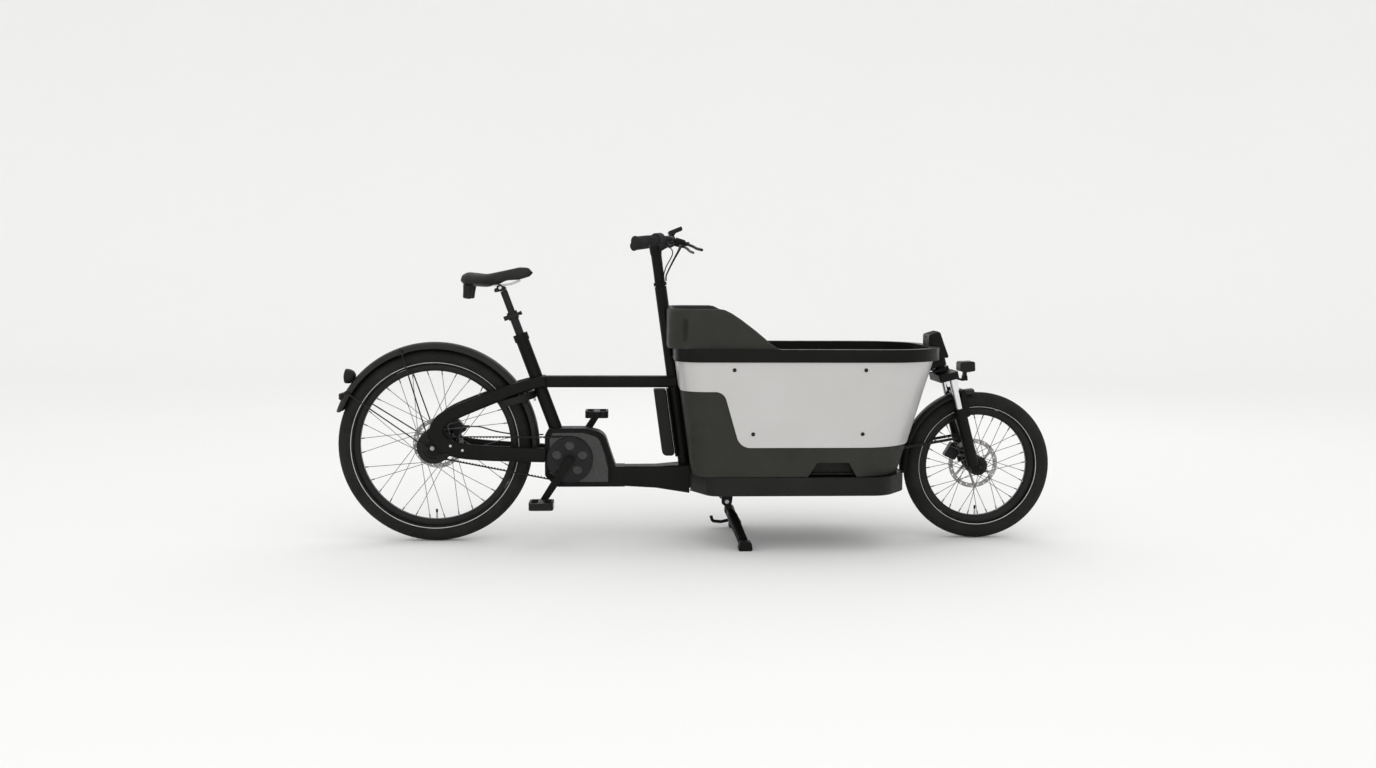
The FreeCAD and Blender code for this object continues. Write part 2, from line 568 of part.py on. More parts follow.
def tub_block(grow, low, high):
    """Solid block of the tub's outline grown by grow on every side, from height low to high."""
    sections = []
    for z in (low, high):
        drop = TUB_TOP_Z - z
        sections.append(ring_wire(z, TUB_REAR + drop * REAR_SLOPE - grow, TUB_FRONT - drop * FRONT_SLOPE + grow,
                                  TUB_HALF - drop * SIDE_SLOPE + grow, TUB_R_REAR + grow, TUB_R_FRONT + grow))
    return Part.makeLoft(sections, True, True)


def hollows(extra):
    """The mast's channel, the down tube's channel and the two foot steps, each grown by extra."""
    mast = rod(mast_at(150.0), mast_at(1000.0), MAST_R + 4 + extra)
    tube = side_plate(down_tube_outline(TUBE_DEPTH + 6 + extra, 60, 220.0, 700.0), 0,
                      -CHANNEL_HALF - extra, CHANNEL_HALF + extra)
    cuts = [mast, tube]
    x0, x1, x2, x3 = STEP_X
    low, high = STEP_Z
    for side in (-1, 1):
        wall = side * (TUB_HALF - (TUB_TOP_Z - low) * SIDE_SLOPE)
        inner, outer = wall - side * (STEP_DEPTH + extra), wall + side * 60
        cuts.append(side_plate([(x0 - extra, low - 30), (x1 - extra, high + extra), (x2 + extra, high + extra),
                                (x3 + extra, low - 30)], 0, min(inner, outer), max(inner, outer)))
    return cuts


def tub():
    outer = tub_block(0, TUB_LOW_Z, TUB_TOP_Z).cut(hollows(0))
    inner = tub_block(-TUB_WALL, TUB_LOW_Z + TUB_WALL, TUB_TOP_Z + 1).cut(hollows(TUB_WALL))
    keep("cargo_tub", outer.cut(inner))
    high = tub_block(PANEL_T + 0.2, PANEL_LOW_Z - 20, TUB_TOP_Z)
    skin = high.cut(tub_block(0.2, PANEL_LOW_Z - 30, TUB_TOP_Z + 10))
    region = side_plate([(700, TUB_TOP_Z - 0.5), (700, PANEL_STEP_Z), (1000, PANEL_STEP_Z), (1056, PANEL_LOW_Z),
                         (1900, PANEL_LOW_Z), (1900, TUB_TOP_Z - 0.5)], [0, 0, 38, 48, 0, 0], -400, 400)
    skin = skin.common(region).cut(hollows(0)[:2])
    for side in (-1, 1):
        half = Part.makeBox(2000, 400, 800, V(0, 0 if side > 0 else -400, 0))
        keep("side_panels", biggest(skin.common(half)))
    rim_block = ring_wire(TUB_TOP_Z + 0.3, TUB_REAR - RIM_OUT, TUB_FRONT + 23, TUB_HALF + RIM_OUT,
                          TUB_R_REAR + 7, TUB_R_FRONT + 10)
    rim_hole = ring_wire(TUB_TOP_Z - 5, TUB_REAR + RIM_IN, TUB_FRONT - 11, TUB_HALF - RIM_IN, TUB_R_REAR - 27,
                         TUB_R_FRONT - 24)
    rail = Part.Face(rim_block).extrude(V(0, 0, RIM_TOP_Z - TUB_TOP_Z - 0.3))
    rail = rail.cut(Part.Face(rim_hole).extrude(V(0, 0, 80)))
    groove_out = ring_wire(TUB_TOP_Z - 5, TUB_REAR - RIM_OUT + 5, TUB_FRONT + 18, TUB_HALF + RIM_OUT - 5,
                           TUB_R_REAR + 2, TUB_R_FRONT + 5)
    groove_in = ring_wire(TUB_TOP_Z - 6, TUB_REAR + RIM_IN - 5, TUB_FRONT - 6, TUB_HALF - RIM_IN + 5,
                          TUB_R_REAR - 22, TUB_R_FRONT - 19)
    groove = Part.Face(groove_out).extrude(V(0, 0, RIM_TOP_Z - TUB_TOP_Z))
    groove = groove.cut(Part.Face(groove_in).extrude(V(0, 0, 90)))
    rail = rail.cut(groove).cut(rod(mast_at(150.0), mast_at(1000.0), MAST_R + 3))
    rail = rail.cut(rod(head_at(600.0), head_at(760.0), HEAD_TUBE_R + 0.3))
    studs = []
    for x in STUD_X:
        for side in (-1, 1):
            face = side * (TUB_HALF + RIM_OUT)
            studs.append(rod(V(x, face - side * 2, STUD_Z), V(x, face + side * 6, STUD_Z), 5))
    keep("cargo_rim", fuse(biggest(rail), *studs))


def base_pan():
    """Tray that closes the underside of the tub round the rails."""
    def block(grow, low, high):
        points = [(PAN_REAR - grow, -150 - grow), (PAN_REAR + 60, -262 - grow), (1560, -262 - grow),
                  (1642 + grow, -150), (1642 + grow, 150), (1560, 262 + grow), (PAN_REAR + 60, 262 + grow),
                  (PAN_REAR - grow, 150 + grow)]
        return plan_plate(points, [30, 50, 90, 60, 60, 90, 50, 30], low, high)

    tray = block(0, PAN_LOW_Z, TUB_LOW_Z - 0.3).cut(block(-4, PAN_LOW_Z + 4, TUB_LOW_Z + 5))
    edge = [e for e in tray.Edges if abs(e.BoundBox.ZMin - PAN_LOW_Z) < 0.01 and e.BoundBox.ZLength < 0.01]
    tray = tray.makeChamfer(3, edge)
    tube = side_plate(down_tube_outline(TUBE_DEPTH + 6, 60, 198.0, 300.0), 0, -CHANNEL_HALF, CHANNEL_HALF)
    tray = tray.cut(tube).cut(rod(mast_at(120.0), mast_at(400.0), MAST_R + 4))
    tray = tray.cut(Part.makeBox(20, 136, 60, V(PAN_REAR - 10, -68, 203)))
    for side in (-1, 1):
        tray = tray.cut(Part.makeBox(36, 12, 40, V(CABLE_X - 18, side * CABLE_Y - 6, 190)))
    keep("base_pan", tray)


def passenger_bench():
    """Moulded bench and pad at the back of the tub, the backrest shell and the floor mat."""
    side_profile = side_plate([(SHELL_REAR - 5, RIM_TOP_Z + 0.3), (SHELL_REAR - 5, SHELL_TOP_Z),
                               (1004, SHELL_TOP_Z), (1189, RIM_TOP_Z + 0.3)], [0, 0, 60, 0], -400, 400)

    def wall(grow, low, high):
        wire = ring_wire(low, SHELL_REAR + grow, 1400, SHELL_HALF - grow, 85 - grow, 20)
        return Part.Face(wire).extrude(V(0, 0, high - low))

    shell = wall(0, RIM_TOP_Z + 0.3, SHELL_TOP_Z + 5).cut(wall(SHELL_T, RIM_TOP_Z - 5, SHELL_TOP_Z + 9))
    shell = shell.common(side_profile).cut(rod(mast_at(600.0), mast_at(1000.0), MAST_R + 3))
    keep("backrest_shell", biggest(shell))
    space = tub_block(-TUB_WALL - 6, TUB_LOW_Z + TUB_WALL, TUB_TOP_Z).cut(hollows(TUB_WALL + 3)[:2])
    floor = TUB_LOW_Z + TUB_WALL
    seat = space.common(side_plate([(840, floor), (1200, floor), (1180, 470), (840, 470)], [0, 0, 20, 0],
                                   -400, 400))
    inside = tub_block(-TUB_WALL - 6 - BENCH_WALL, TUB_LOW_Z + TUB_WALL - 1, TUB_TOP_Z).common(
        side_plate([(944, floor - 2), (1194, floor - 2), (1176, 464), (944, 464)], 0, -400, 400))
    keep("passenger_bench", seat.cut(inside))
    pad = space.common(side_plate([(905, 470.3), (1176, 470.3), (1176, 508), (905, 508)], [0, 16, 16, 10], -262, 262))
    back = space.common(side_plate([(rear_x(520) + 22, 516), (rear_x(520) + 64, 516), (rear_x(650) + 62, 652),
                                    (rear_x(650) + 22, 652)], [6, 12, 12, 6], -225, 225))
    keep("bench_cushions", pad)
    keep("bench_cushions", back)
    mat = plan_plate([(1206, -225), (1520, -225), (1570, -150), (1570, 150), (1520, 225), (1206, 225)],
                     [10, 30, 40, 40, 30, 10], floor + 0.1, floor + 6)
    for k in range(2):
        side = -1 if k else 1
        inner = side * (TUB_HALF - (TUB_TOP_Z - STEP_Z[0]) * SIDE_SLOPE - STEP_DEPTH - 12)
        mat = mat.cut(Part.makeBox(240, 200, 20, V(1252, inner if side > 0 else inner - 200, floor - 5)))
    keep("floor_mat", mat)


def bumper():
    """Cap over the head tube at the nose of the rim."""
    cap = side_plate([(1748, RIM_TOP_Z + 0.3), (1748, 738), (1787, 750), (1803, 706), (1822, 656), (1769, 656),
                      (1769, RIM_TOP_Z + 0.3)], [0, 8, 8, 60, 6, 0, 0], -46, 46)
    keep("front_bumper", cap.cut(rod(head_at(600.0), head_at(736.0), HEAD_TUBE_R + 0.3)))


def side_y(z):
    """Half width of the tub's outside at height z, panel included."""
    return TUB_HALF - (TUB_TOP_Z - z) * SIDE_SLOPE + PANEL_T + 0.2


def fasteners():
    """Countersunk screws: four in each side panel, six under the tray."""
    found = []
    lean = atan2(SIDE_SLOPE, 1)
    for x, z in ((1034, 630), (1477, 630), (1100, 412), (1472, 412)):
        for side in (-1, 1):
            base = V(x, side * (side_y(z) + 0.1), z)
            out = V(0, side * cos(lean), -sin(lean))
            found.append(turned([(0, 0), (7, 0), (5.5, 3), (0, 3)], base, out))
    for x in (1060, 1290, 1500):
        for side in (-1, 1):
            found.append(turned([(0, 0), (7, 0), (6, 4), (0, 4)], V(x, side * 205, PAN_LOW_Z), V(0, 0, -1)))
    keep("box_fasteners", *found)


# ---- mudguards, lights, brakes -----------------------------------------------------------------------
def mudguard(x, z, outer, start, end, half):
    """Curved sheet with turned-in edges."""
    band = arc_band(x, z, outer - 15, outer, half, start, end)
    return band.cut(arc_band(x, z, outer - 30, outer - 3, half - 3, start - 5, end + 5))


def polar(x, z, r, angle, y=0.0):
    a = radians(angle)
    return V(x + r * cos(a), y, z + r * sin(a))


def lock_ring(grow):
    """The ring lock's flat round case as a full ring, grown by grow all over."""
    inner, outer, half = LOCK_R - 11 - grow, LOCK_R + 9 + grow, 12 + grow
    return turned([(inner, -half), (outer, -half), (outer, half), (inner, half)], V(LOCK_X, 0, LOCK_Z), lock_axis)


def rear_guard():
    guard = mudguard(0, REAR_R, FENDER_R, FENDER_FROM, FENDER_TO, FENDER_HALF)
    keep("rear_fender", biggest(guard.cut(lock_ring(1.0))))
    wires = []
    for side in (-1, 1):
        for start, angle in ((V(-18, side * 81.5, 340), 148.0), (V(-14, side * 81.5, 368), 108.5)):
            rim_end = polar(0, REAR_R, FENDER_R - 8, angle, side * (FENDER_HALF + 3))
            wires.append(rod(start, rim_end, 2.4))
    keep("rear_fender", *wires)
    seat = polar(0, REAR_R, FENDER_R, 141.0)
    out = (seat - V(0, 0, REAR_R)).normalize()
    body = turned([(0, 0.3), (9, 0.3), (10, 12), (0, 12)], seat, out)
    lamp = side_plate([(seat.x + out.x * 8 - 34, seat.z + 6), (seat.x + out.x * 8 - 26, seat.z + 36),
                       (seat.x + out.x * 8 - 8, seat.z + 36), (seat.x + out.x * 8 + 6, seat.z + 14),
                       (seat.x + out.x * 8 - 2, seat.z - 4), (seat.x + out.x * 8 - 24, seat.z - 26),
                       (seat.x + out.x * 8 - 34, seat.z - 26)], [4, 8, 8, 8, 8, 6, 4], -34, 34)
    clear = arc_band(0, REAR_R, FENDER_R - 40, FENDER_R + 0.3, 60, 120, 170)
    keep("tail_light", fuse(body, lamp).cut(clear))
    spot = polar(0, REAR_R, FENDER_R, 151.5)
    keep("tail_light", side_plate([(spot.x - 14, spot.z - 14), (spot.x - 14, spot.z + 12),
                                       (spot.x + 4, spot.z + 12), (spot.x + 4, spot.z - 14)], 2, -24, 24).cut(clear))


def caliper(x, axle_z, rotor_y, angle):
    """Disc-brake body that straddles the rotor, with its pads."""
    centre = polar(x, axle_z, ROTOR_R - 4, angle, rotor_y + ROTOR_T / 2)
    a = radians(angle)
    u, w = V(cos(a), 0, sin(a)), V(-sin(a), 0, cos(a))
    corners = [centre + u * 26 - w * 30, centre + u * 26 + w * 30, centre - u * 18 + w * 24, centre - u * 18 - w * 24]
    block = side_plate([(p.x, p.z) for p in corners], 7, rotor_y + ROTOR_T / 2 - 15, rotor_y + ROTOR_T / 2 + 15)
    slot_corners = [centre + u * 7 - w * 40, centre + u * 7 + w * 40, centre - u * 40 + w * 40,
                    centre - u * 40 - w * 40]
    slot = side_plate([(p.x, p.z) for p in slot_corners], 0, rotor_y - 1.4, rotor_y + ROTOR_T + 1.4)
    return block.cut(slot), centre


def rear_brake():
    """Rear caliper on the left stay, and its hose to the motor hoop."""
    block, centre = caliper(0, REAR_R, REAR_ROTOR_Y, 40.0)
    route = [(centre.x + 46.2, 52, centre.z + 4), (centre.x + 84, 52, centre.z + 4), (centre.x + 135, 48, 384),
             (centre.x + 200, 42, 374), (centre.x + 260, 46, 371), (centre.x + 310, 48, 372)]
    fitting = rod(V(centre.x + 22, 52, centre.z + 4), V(centre.x + 46, 52, centre.z + 4), 5)
    hose = piped(route, arc_radii(route), 2.5)
    block = fuse(block, fitting).cut(parts["rear_stays"][1:])
    keep("rear_caliper", biggest(block))
    keep("frame_cables", hose)


def ring_lock():
    """Horseshoe lock round the tyre; its shackle swings through the spokes when it is closed."""
    base = V(LOCK_X, 0, LOCK_Z)
    mouth = Part.makeBox(200, 400, 60, V(-200 - LOCK_MOUTH, -200, -30))
    mouth.Placement = FreeCAD.Placement(base, FreeCAD.Rotation(Z, lock_axis))
    tunnel = Part.makeTorus(LOCK_R, SHACKLE_R + 0.6, base, lock_axis)
    case = lock_ring(0).cut(mouth).cut(tunnel)
    placed = FreeCAD.Placement(base, FreeCAD.Rotation(Z, lock_axis))
    slot = Part.Face(Part.makePolygon([V(LOCK_R - 4.6, 0, -13), V(LOCK_R + 4.6, 0, -13), V(LOCK_R + 4.6, 0, 0),
                                       V(LOCK_R - 4.6, 0, 0), V(LOCK_R - 4.6, 0, -13)]))
    slot.rotate(V(0, 0, 0), Z, LOCK_TAIL + 2)
    slot = slot.revolve(V(0, 0, 0), Z, LOCK_TRAVEL + 10)
    slot.Placement = placed
    case = case.cut(slot)
    for side in (-1, 1):
        foot = V(300, side * 54, LOCK_Z + 10)
        case = case.fuse(rod(foot, foot + Z * 32, 7))
    case = case.cut(rod(seat_at(400.0), seat_at(700.0), SEAT_TUBE_R + 0.6)).cut(tunnel)
    keep("ring_lock", biggest(case.cut(parts["rear_stays"])))
    ring = Part.makeTorus(LOCK_R, SHACKLE_R, V(0, 0, 0), Z, 0, 360, LOCK_ARC)
    ring.rotate(V(0, 0, 0), Z, LOCK_TAIL)
    knob_at = radians(LOCK_TAIL + 7)
    knob = rod(V(LOCK_R * cos(knob_at), LOCK_R * sin(knob_at), -2),
               V(LOCK_R * cos(knob_at), LOCK_R * sin(knob_at), -24), 4)
    shackle = fuse(ring, knob)
    shackle.Placement = placed
    keep("lock_shackle", shackle)


# ---- saddle ------------------------------------------------------------------------------------------
def saddle():
    post = rod(seat_at(700.0), seat_at(POST_TOP_Z - 6), POST_R)
    sleeve_tube = sleeve(seat_at(560.0), seat_at(SLEEVE_TOP_Z), POST_SLEEVE_R, POST_R + 0.3)
    keep("post_sleeve", sleeve_tube)
    clamp = sleeve(seat_at(SLEEVE_TOP_Z - 24), seat_at(SLEEVE_TOP_Z + 2), POST_SLEEVE_R + 4, POST_SLEEVE_R + 0.05)
    ears = Part.makeBox(16, 24, 16, V(-POST_SLEEVE_R - 18, -12, -8))
    ears.Placement = FreeCAD.Placement(seat_at(SLEEVE_TOP_Z - 12), FreeCAD.Rotation(Z, seat_dir))
    keep("post_sleeve", fuse(clamp, ears).cut(rod(seat_at(700.0), seat_at(860.0), POST_SLEEVE_R + 0.05)))
    hub = seat_at(SLEEVE_TOP_Z - 12) + V(-26 * cos(SEAT_TILT), -18, -26 * sin(SEAT_TILT))
    blade = Part.makeBox(58, 3, 11, V(0, -5.5, -5.5))
    knob = rod(V(56, -4, -6.5), V(56, -4, 6.5), 5)
    lever = fuse(rod(V(0, 0, -7), V(0, 0, 7), 5.5), blade, knob)
    lever.Placement = FreeCAD.Placement(hub, FreeCAD.Rotation(Z, seat_dir))
    keep("seat_lever", lever)
    head = seat_at(POST_TOP_Z)
    cradle = side_plate([(head.x - 30, head.z - 12), (head.x + 12, head.z - 4), (head.x + 10, head.z + 10),
                         (head.x - 28, head.z + 3)], 5, -19, 19)
    keep("seat_post", fuse(post, cradle))
    top = [(99, 918), (103, 944), (122, 953), (187, 946), (250, 960), (300, 972), (334, 966), (344, 950),
           (334, 938), (296, 926), (252, 924), (222, 908), (187, 900), (110, 905)]
    radii = [4, 14, 30, 60, 60, 30, 12, 10, 20, 30, 30, 30, 30, 8]
    side = side_plate(top, radii, -90, 90)
    plan = plan_plate([(96, -84), (150, -88), (215, -36), (300, -24), (348, -20), (348, 20), (300, 24), (215, 36),
                       (150, 88), (96, 84)], [30, 30, 60, 60, 16, 16, 60, 60, 30, 30], 880, 990)
    rails = []
    for s in (-1, 1):
        rails.append(piped([(300, s * 12, 924), (268, s * 20, 911), (236, s * 22, 907), (170, s * 22, 907),
                            (140, s * 30, 912)], [0, 20, 20, 20, 0], 3.5))
    seat_solid = side.common(plan)
    keep("saddle", seat_solid.cut(rails))
    keep("saddle_frame", *[r.cut(parts["seat_post"]) for r in rails])
    bumpers = []
    for s in (-1, 1):
        bumpers.append(rod(V(124, s * 42, 902), V(120, s * 42, 862), 15).cut(seat_solid))
    keep("saddle_frame", *bumpers)


# ---- steering ----------------------------------------------------------------------------------------
def handlebar():
    """Column, stem and swept bar, with grips, twist shifter, perches, levers and display."""
    stem_top = mast_at(STEM_TOP_Z)
    column = rod(mast_at(188.0), mast_at(MAST_Z + 2), COLUMN_R)
    stem = rod(mast_at(MAST_Z + 2), stem_top, STEM_R)
    clamp = rod(V(BAR_X, -24, BAR_Z), V(BAR_X, 24, BAR_Z), 19)
    neck = rod(mast_at(1020.0), V(BAR_X, 0, BAR_Z), 14)
    drum = rod(mast_at(172.0), mast_at(188.0), DRUM_R)
    collar = rod(mast_at(MAST_Z + 2), mast_at(COLLAR_TOP_Z), 31)
    bore = rod(V(BAR_X, -30, BAR_Z), V(BAR_X, 30, BAR_Z), BAR_R)
    keep("steering_column", fuse(column, stem, drum, collar))
    keep("steering_column", fuse(clamp, neck).cut(bore).cut(rod(mast_at(MAST_Z + 2), stem_top, STEM_R)))
    gx, gy, gz = GRIP_IN
    ox, oy, oz = GRIP_OUT
    points = [(ox, -oy, oz), (gx, -gy, gz), (BAR_X - 2, -178, 1067), (BAR_X, -60, BAR_Z), (BAR_X, 60, BAR_Z),
              (BAR_X - 2, 178, 1067), (gx, gy, gz), (ox, oy, oz)]
    keep("handlebar", piped(points, [0, 34, 40, 60, 60, 40, 34, 0], BAR_R))
    grips = []
    for side in (-1, 1):
        inner, outer = V(gx, side * gy, gz), V(ox, side * oy, oz)
        along = (outer - inner).normalize()
        start = inner + along * (46 if side < 0 else 14)
        grips.append(rod(start, outer + along * 4, GRIP_R).cut(rod(start - along, outer, BAR_R)))
        if side < 0:
            keep("twist_shifter", sleeve(inner + along * 14, inner + along * 45, 21.5, BAR_R + 0.3))
    keep("grips", *grips)
    for side, name in ((-1, "right"), (1, "left")):
        inboard, outboard = V(BAR_X, side * 60, BAR_Z), V(BAR_X - 2, side * 178, 1067)
        out = (outboard - inboard).normalize()
        perch_at = inboard + out * 88
        collar = rod(perch_at - out * 9, perch_at + out * 9, 16)
        collar = collar.cut(rod(perch_at - out * 20, perch_at + out * 20, BAR_R + 0.1))
        body = rod(V(BAR_X + 14, side * 148, 1064), V(BAR_X + 48, side * 148, 1054), 10)
        tank = rod(V(BAR_X + 40, side * 118, 1057), V(BAR_X + 40, side * 150, 1057), 9)
        pivot = V(BAR_X + 54, side * 150, 1051)
        joined = fuse(collar, body.cut(rod(perch_at - out * 20, perch_at + out * 20, 14)), tank)
        keep("handlebar", biggest(joined.cut(rod(pivot - Z * 30, pivot + Z * 30, 9.2))))
        tip = V(BAR_X + 98, side * 262, 1029)
        blade = piped([(pivot.x, pivot.y, pivot.z), (pivot.x + 18, side * 190, 1042),
                       (pivot.x + 29, side * 228, 1034), (tip.x, tip.y, tip.z)], [0, 60, 60, 0], 5)
        keep("brake_lever_" + name, fuse(rod(pivot - Z * 7, pivot + Z * 7, 8.5), blade))
    corners = [(819, 1097), (866, 1116), (870, 1102), (824, 1084)]
    pod = side_plate(corners, 4, -42, 42)
    arm = side_plate([(BAR_X - 4, BAR_Z + 14), (BAR_X + 10, BAR_Z + 14), (BAR_X + 22, BAR_Z + 34),
                      (BAR_X + 6, BAR_Z + 30)], 0, -12, 12)
    pod = fuse(pod, arm).cut(rod(V(BAR_X, -60, BAR_Z), V(BAR_X, 60, BAR_Z), 19.2))
    keep("display", biggest(pod))
    cords = []
    low = mast_at(COLLAR_TOP_Z)
    for side in (-1, 1):
        route = [(BAR_X + 40, side * 117.7, 1057), (BAR_X + 41, side * 92, 1053), (BAR_X + 34, side * 62, 1034),
                 (BAR_X + 16, side * 34, 1002), (BAR_X - 2, side * 16, 966), (mast_at(942).x + 24, side * 10, 942),
                 (low.x + 22, side * 9, COLLAR_TOP_Z + 22 * sin(MAST_TILT) + 0.8)]
        cords.append(piped(route, arc_radii(route), 2.4))
    route = [(gx - 2, -gy - 5, 1047), (gx + 16, -gy + 26, 1042), (gx + 32, -gy + 66, 1034), (gx + 38, -gy + 108, 1020),
             (gx + 30, -gy + 148, 1000), (gx + 16, -gy + 186, 974), (mast_at(948).x + 17, -gy + 204, 948),
             (low.x + 13, -14.5, COLLAR_TOP_Z + 13 * sin(MAST_TILT) + 1.0)]
    cords.append(piped(route, arc_radii(route), 2.0))
    keep("bar_hoses", *cords)


def fork():
    """Crown with steerer, drum and stanchions; sliding lowers with axle clamps and caliper."""
    steerer = rod(head_at(HEAD_Z), head_at(731.0), 16.9)
    drum = rod(head_at(604.0), head_at(619.0), DRUM_R)
    legs = [rod(leg_at(420.0, s), leg_at(586.0, s), STANCHION_R) for s in (-1, 1)]
    crown = Part.makeBox(70, 2 * LEG_Y + 36, 26, V(-28, -LEG_Y - 18, -26))
    crown = crown.makeFillet(10, [e for e in crown.Edges if abs(e.BoundBox.ZLength - 26) < 1e-6])
    crown.Placement = FreeCAD.Placement(head_at(HEAD_Z + 1), FreeCAD.Rotation(Z, head_dir))
    arch = fuse(crown, steerer, drum)
    keep("fork_crown", arch.cut(legs))
    keep("stanchions", *legs)
    lowers = []
    axle = V(WHEELBASE, 0, FRONT_R)
    for s in (-1, 1):
        foot = leg_at(272.0, s)
        tube = rod(foot, leg_at(476.0, s), LOWER_R).cut(rod(leg_at(380.0, s), leg_at(500.0, s), STANCHION_R + 0.08))
        y0, y1 = sorted((s * 47, s * 62))
        hook = side_plate([(foot.x - 18, 280), (foot.x + 10, 306), (WHEELBASE + 14, 272), (WHEELBASE + 8, 246),
                           (foot.x, 248)], [8, 8, 12, 12, 10], y0, y1)
        lower = fuse(tube, hook).cut(rod(axle - Y * 90, axle + Y * 90, 7.0))
        lowers.append(lower)
    bores = [rod(leg_at(380.0, s), leg_at(560.0, s), STANCHION_R + 0.08) for s in (-1, 1)]
    brace = fork_brace()
    keep("fork_lowers", fuse(*lowers, brace).cut(bores))
    keep("fork_lowers", rod(axle - Y * 66, axle + Y * 66, 6.95))
    block = caliper(WHEELBASE, FRONT_R, FRONT_ROTOR_Y, 150.0)[0]
    keep("fork_lowers", biggest(block.cut(lowers)))
    guard = mudguard(WHEELBASE, FRONT_R, FRONT_FENDER_R, FRONT_FENDER_FROM, FRONT_FENDER_TO, FENDER_HALF)
    guard = guard.cut([rod(leg_at(380.0, s), leg_at(520.0, s), LOWER_R + 1) for s in (-1, 1)]).cut(brace)
    keep("front_fender", biggest(guard))
    straps = []
    for s in (-1, 1):
        y0, y1 = sorted((s * (FENDER_HALF + 0.2), s * (FENDER_HALF + 3.2)))
        straps.append(side_plate([(1668, 328), (1882, 366), (1884, 376), (1666, 338)], 0, y0, y1))
    keep("front_fender", *straps)


def fork_brace():
    """Arch ahead of the legs that ties the two lowers over the tyre."""
    foot, knee = leg_at(442.0, 1).x, leg_at(BRACE_TOP_Z, 1).x
    profile = side_plate([(foot + 2, 442), (foot + 29, 452), (knee + 35, BRACE_TOP_Z - 6), (knee + 33, BRACE_TOP_Z),
                          (knee + 17.5, BRACE_TOP_Z), (foot + 2, 470)], [0, 10, 6, 4, 4, 0], -LEG_Y - 15, LEG_Y + 15)
    opening = Part.makeBox(120, 2 * LEG_Y - 20, 200, V(foot - 30, -LEG_Y + 10, BRACE_TOP_Z - BRACE_T - 200))
    return profile.cut(opening)


def headlight():
    """Lamp on a bent bracket that stands on the fork crown."""
    body = side_plate([(1868, 606), (1868, 640), (1920, 642), (1922, 608), (1896, 603)], [6, 8, 6, 4, 6], -30, 30)
    neck = side_plate([(1885, 586), (1885, 604), (1898, 604), (1898, 586)], 0, -8, 8)
    neck = neck.fuse(rod(V(1891.5, -8, 586), V(1891.5, 8, 586), 6.5))
    keep("headlight", fuse(body, neck))
    plate = side_plate([(1840, 590), (1880, 579), (1900, 579), (1900, 573), (1879, 571), (1838, 582)], 0, -14, 14)
    plate = plate.cut(parts["fork_crown"])
    for side in (-1, 1):
        y0, y1 = sorted((side * 8.4, side * 13))
        ear = side_plate([(1884, 579), (1884, 592), (1899, 592), (1899, 579)], [0, 5, 5, 0], y0, y1)
        plate = plate.fuse(ear)
    keep("fork_crown", biggest(plate))


def steering_cables():
    """The pair of cables that carries the mast's turn to the fork, inside the tray and up the down tube."""
    runs = []
    lower = mast_at(180.0)
    for side in (-1, 1):
        y = side * CABLE_Y
        top = head_at(611.0)
        route = [(lower.x + 6, y, 181), (CABLE_X - 18, y, 182), (CABLE_X, y, 196), (CABLE_X + 4, y, 226),
                 (CABLE_X + 30, y, 246), (CABLE_X + 80, y, 250), (1180, y, 249), (1380, y, 250), (1530, y, 249),
                 (1602, y, 254), (front_x(310) - 12, y, 310), (front_x(450) - 10, y, 450),
                 (front_x(572) - 8, y, 572), (front_x(600) + 6, y, 600), (top.x - 40, y, 603), (top.x - 8, y, 610)]
        runs.append(piped(route, arc_radii(route), CABLE_R))
    keep("frame_cables", *runs)


# ---- kickstand ---------------------------------------------------------------------------------------
def kickstand():
    """Two spread legs on a cross tube, their rubber feet, and the bracket and pin they fold on."""
    pivot = V(STAND_X, 0, STAND_Z)
    pin_hole = rod(pivot - Y * 90, pivot + Y * 90, 8.4)
    legs = [rod(pivot - Y * 61, pivot + Y * 61, 15)]
    feet = []
    for s in (-1, 1):
        x, y = STAND_FOOT_X, s * STAND_FOOT_Y
        knee = V(STAND_X + 13, s * 49, STAND_Z - 38)
        ankle = V(x - 8, y - s * 6, 26)
        legs += [rod(V(STAND_X, s * 47, STAND_Z), knee, 12), Part.makeSphere(12, knee), rod(knee, ankle, 12)]
        y0, y1 = sorted((y - s * 24, y + s * 16))
        feet.append(side_plate([(x - 28, 0), (x + 22, 0), (x + 18, 30), (x - 22, 40)], [6, 6, 10, 10], y0, y1))
    x, y = STAND_FOOT_X, STAND_FOOT_Y
    tang = piped([(x - 10, y - 22, 34), (x - 56, y - 12, 22), (x - 88, y - 8, 24), (x - 94, y - 8, 44)],
                 [0, 16, 10, 0], 6)
    keep("kickstand", biggest(fuse(*legs, tang).cut(pin_hole).cut(feet)), *feet)
    top_z = PAN_LOW_Z - 6
    bracket = Part.makeBox(76, 150, 5.8, V(STAND_X - 40, -75, top_z))
    for s in (-1, 1):
        y0, y1 = sorted((s * 62, s * 68))
        cheek = [(STAND_X - 19, top_z + 1), (STAND_X - 19, STAND_Z - 14), (STAND_X + 17, STAND_Z - 14),
                 (STAND_X + 24, top_z + 1)]
        bracket = bracket.fuse(side_plate(cheek, [0, 12, 12, 0], y0, y1))
    keep("box_subframe", fuse(bracket).cut(rod(pivot - Y * 90, pivot + Y * 90, 8.05)))
    keep("box_subframe", rod(pivot - Y * 72, pivot + Y * 72, 8))


# ---- build -------------------------------------------------------------------------------------------
wheels()
drive()
keep("rear_stays", stay(-1), stay(1))
rear_axle()
frame_tubes()
motor()
battery()
front_frame()
tub()
base_pan()
passenger_bench()
bumper()
fasteners()
rear_guard()
rear_brake()
ring_lock()
saddle()
handlebar()
fork()
headlight()
steering_cables()
kickstand()

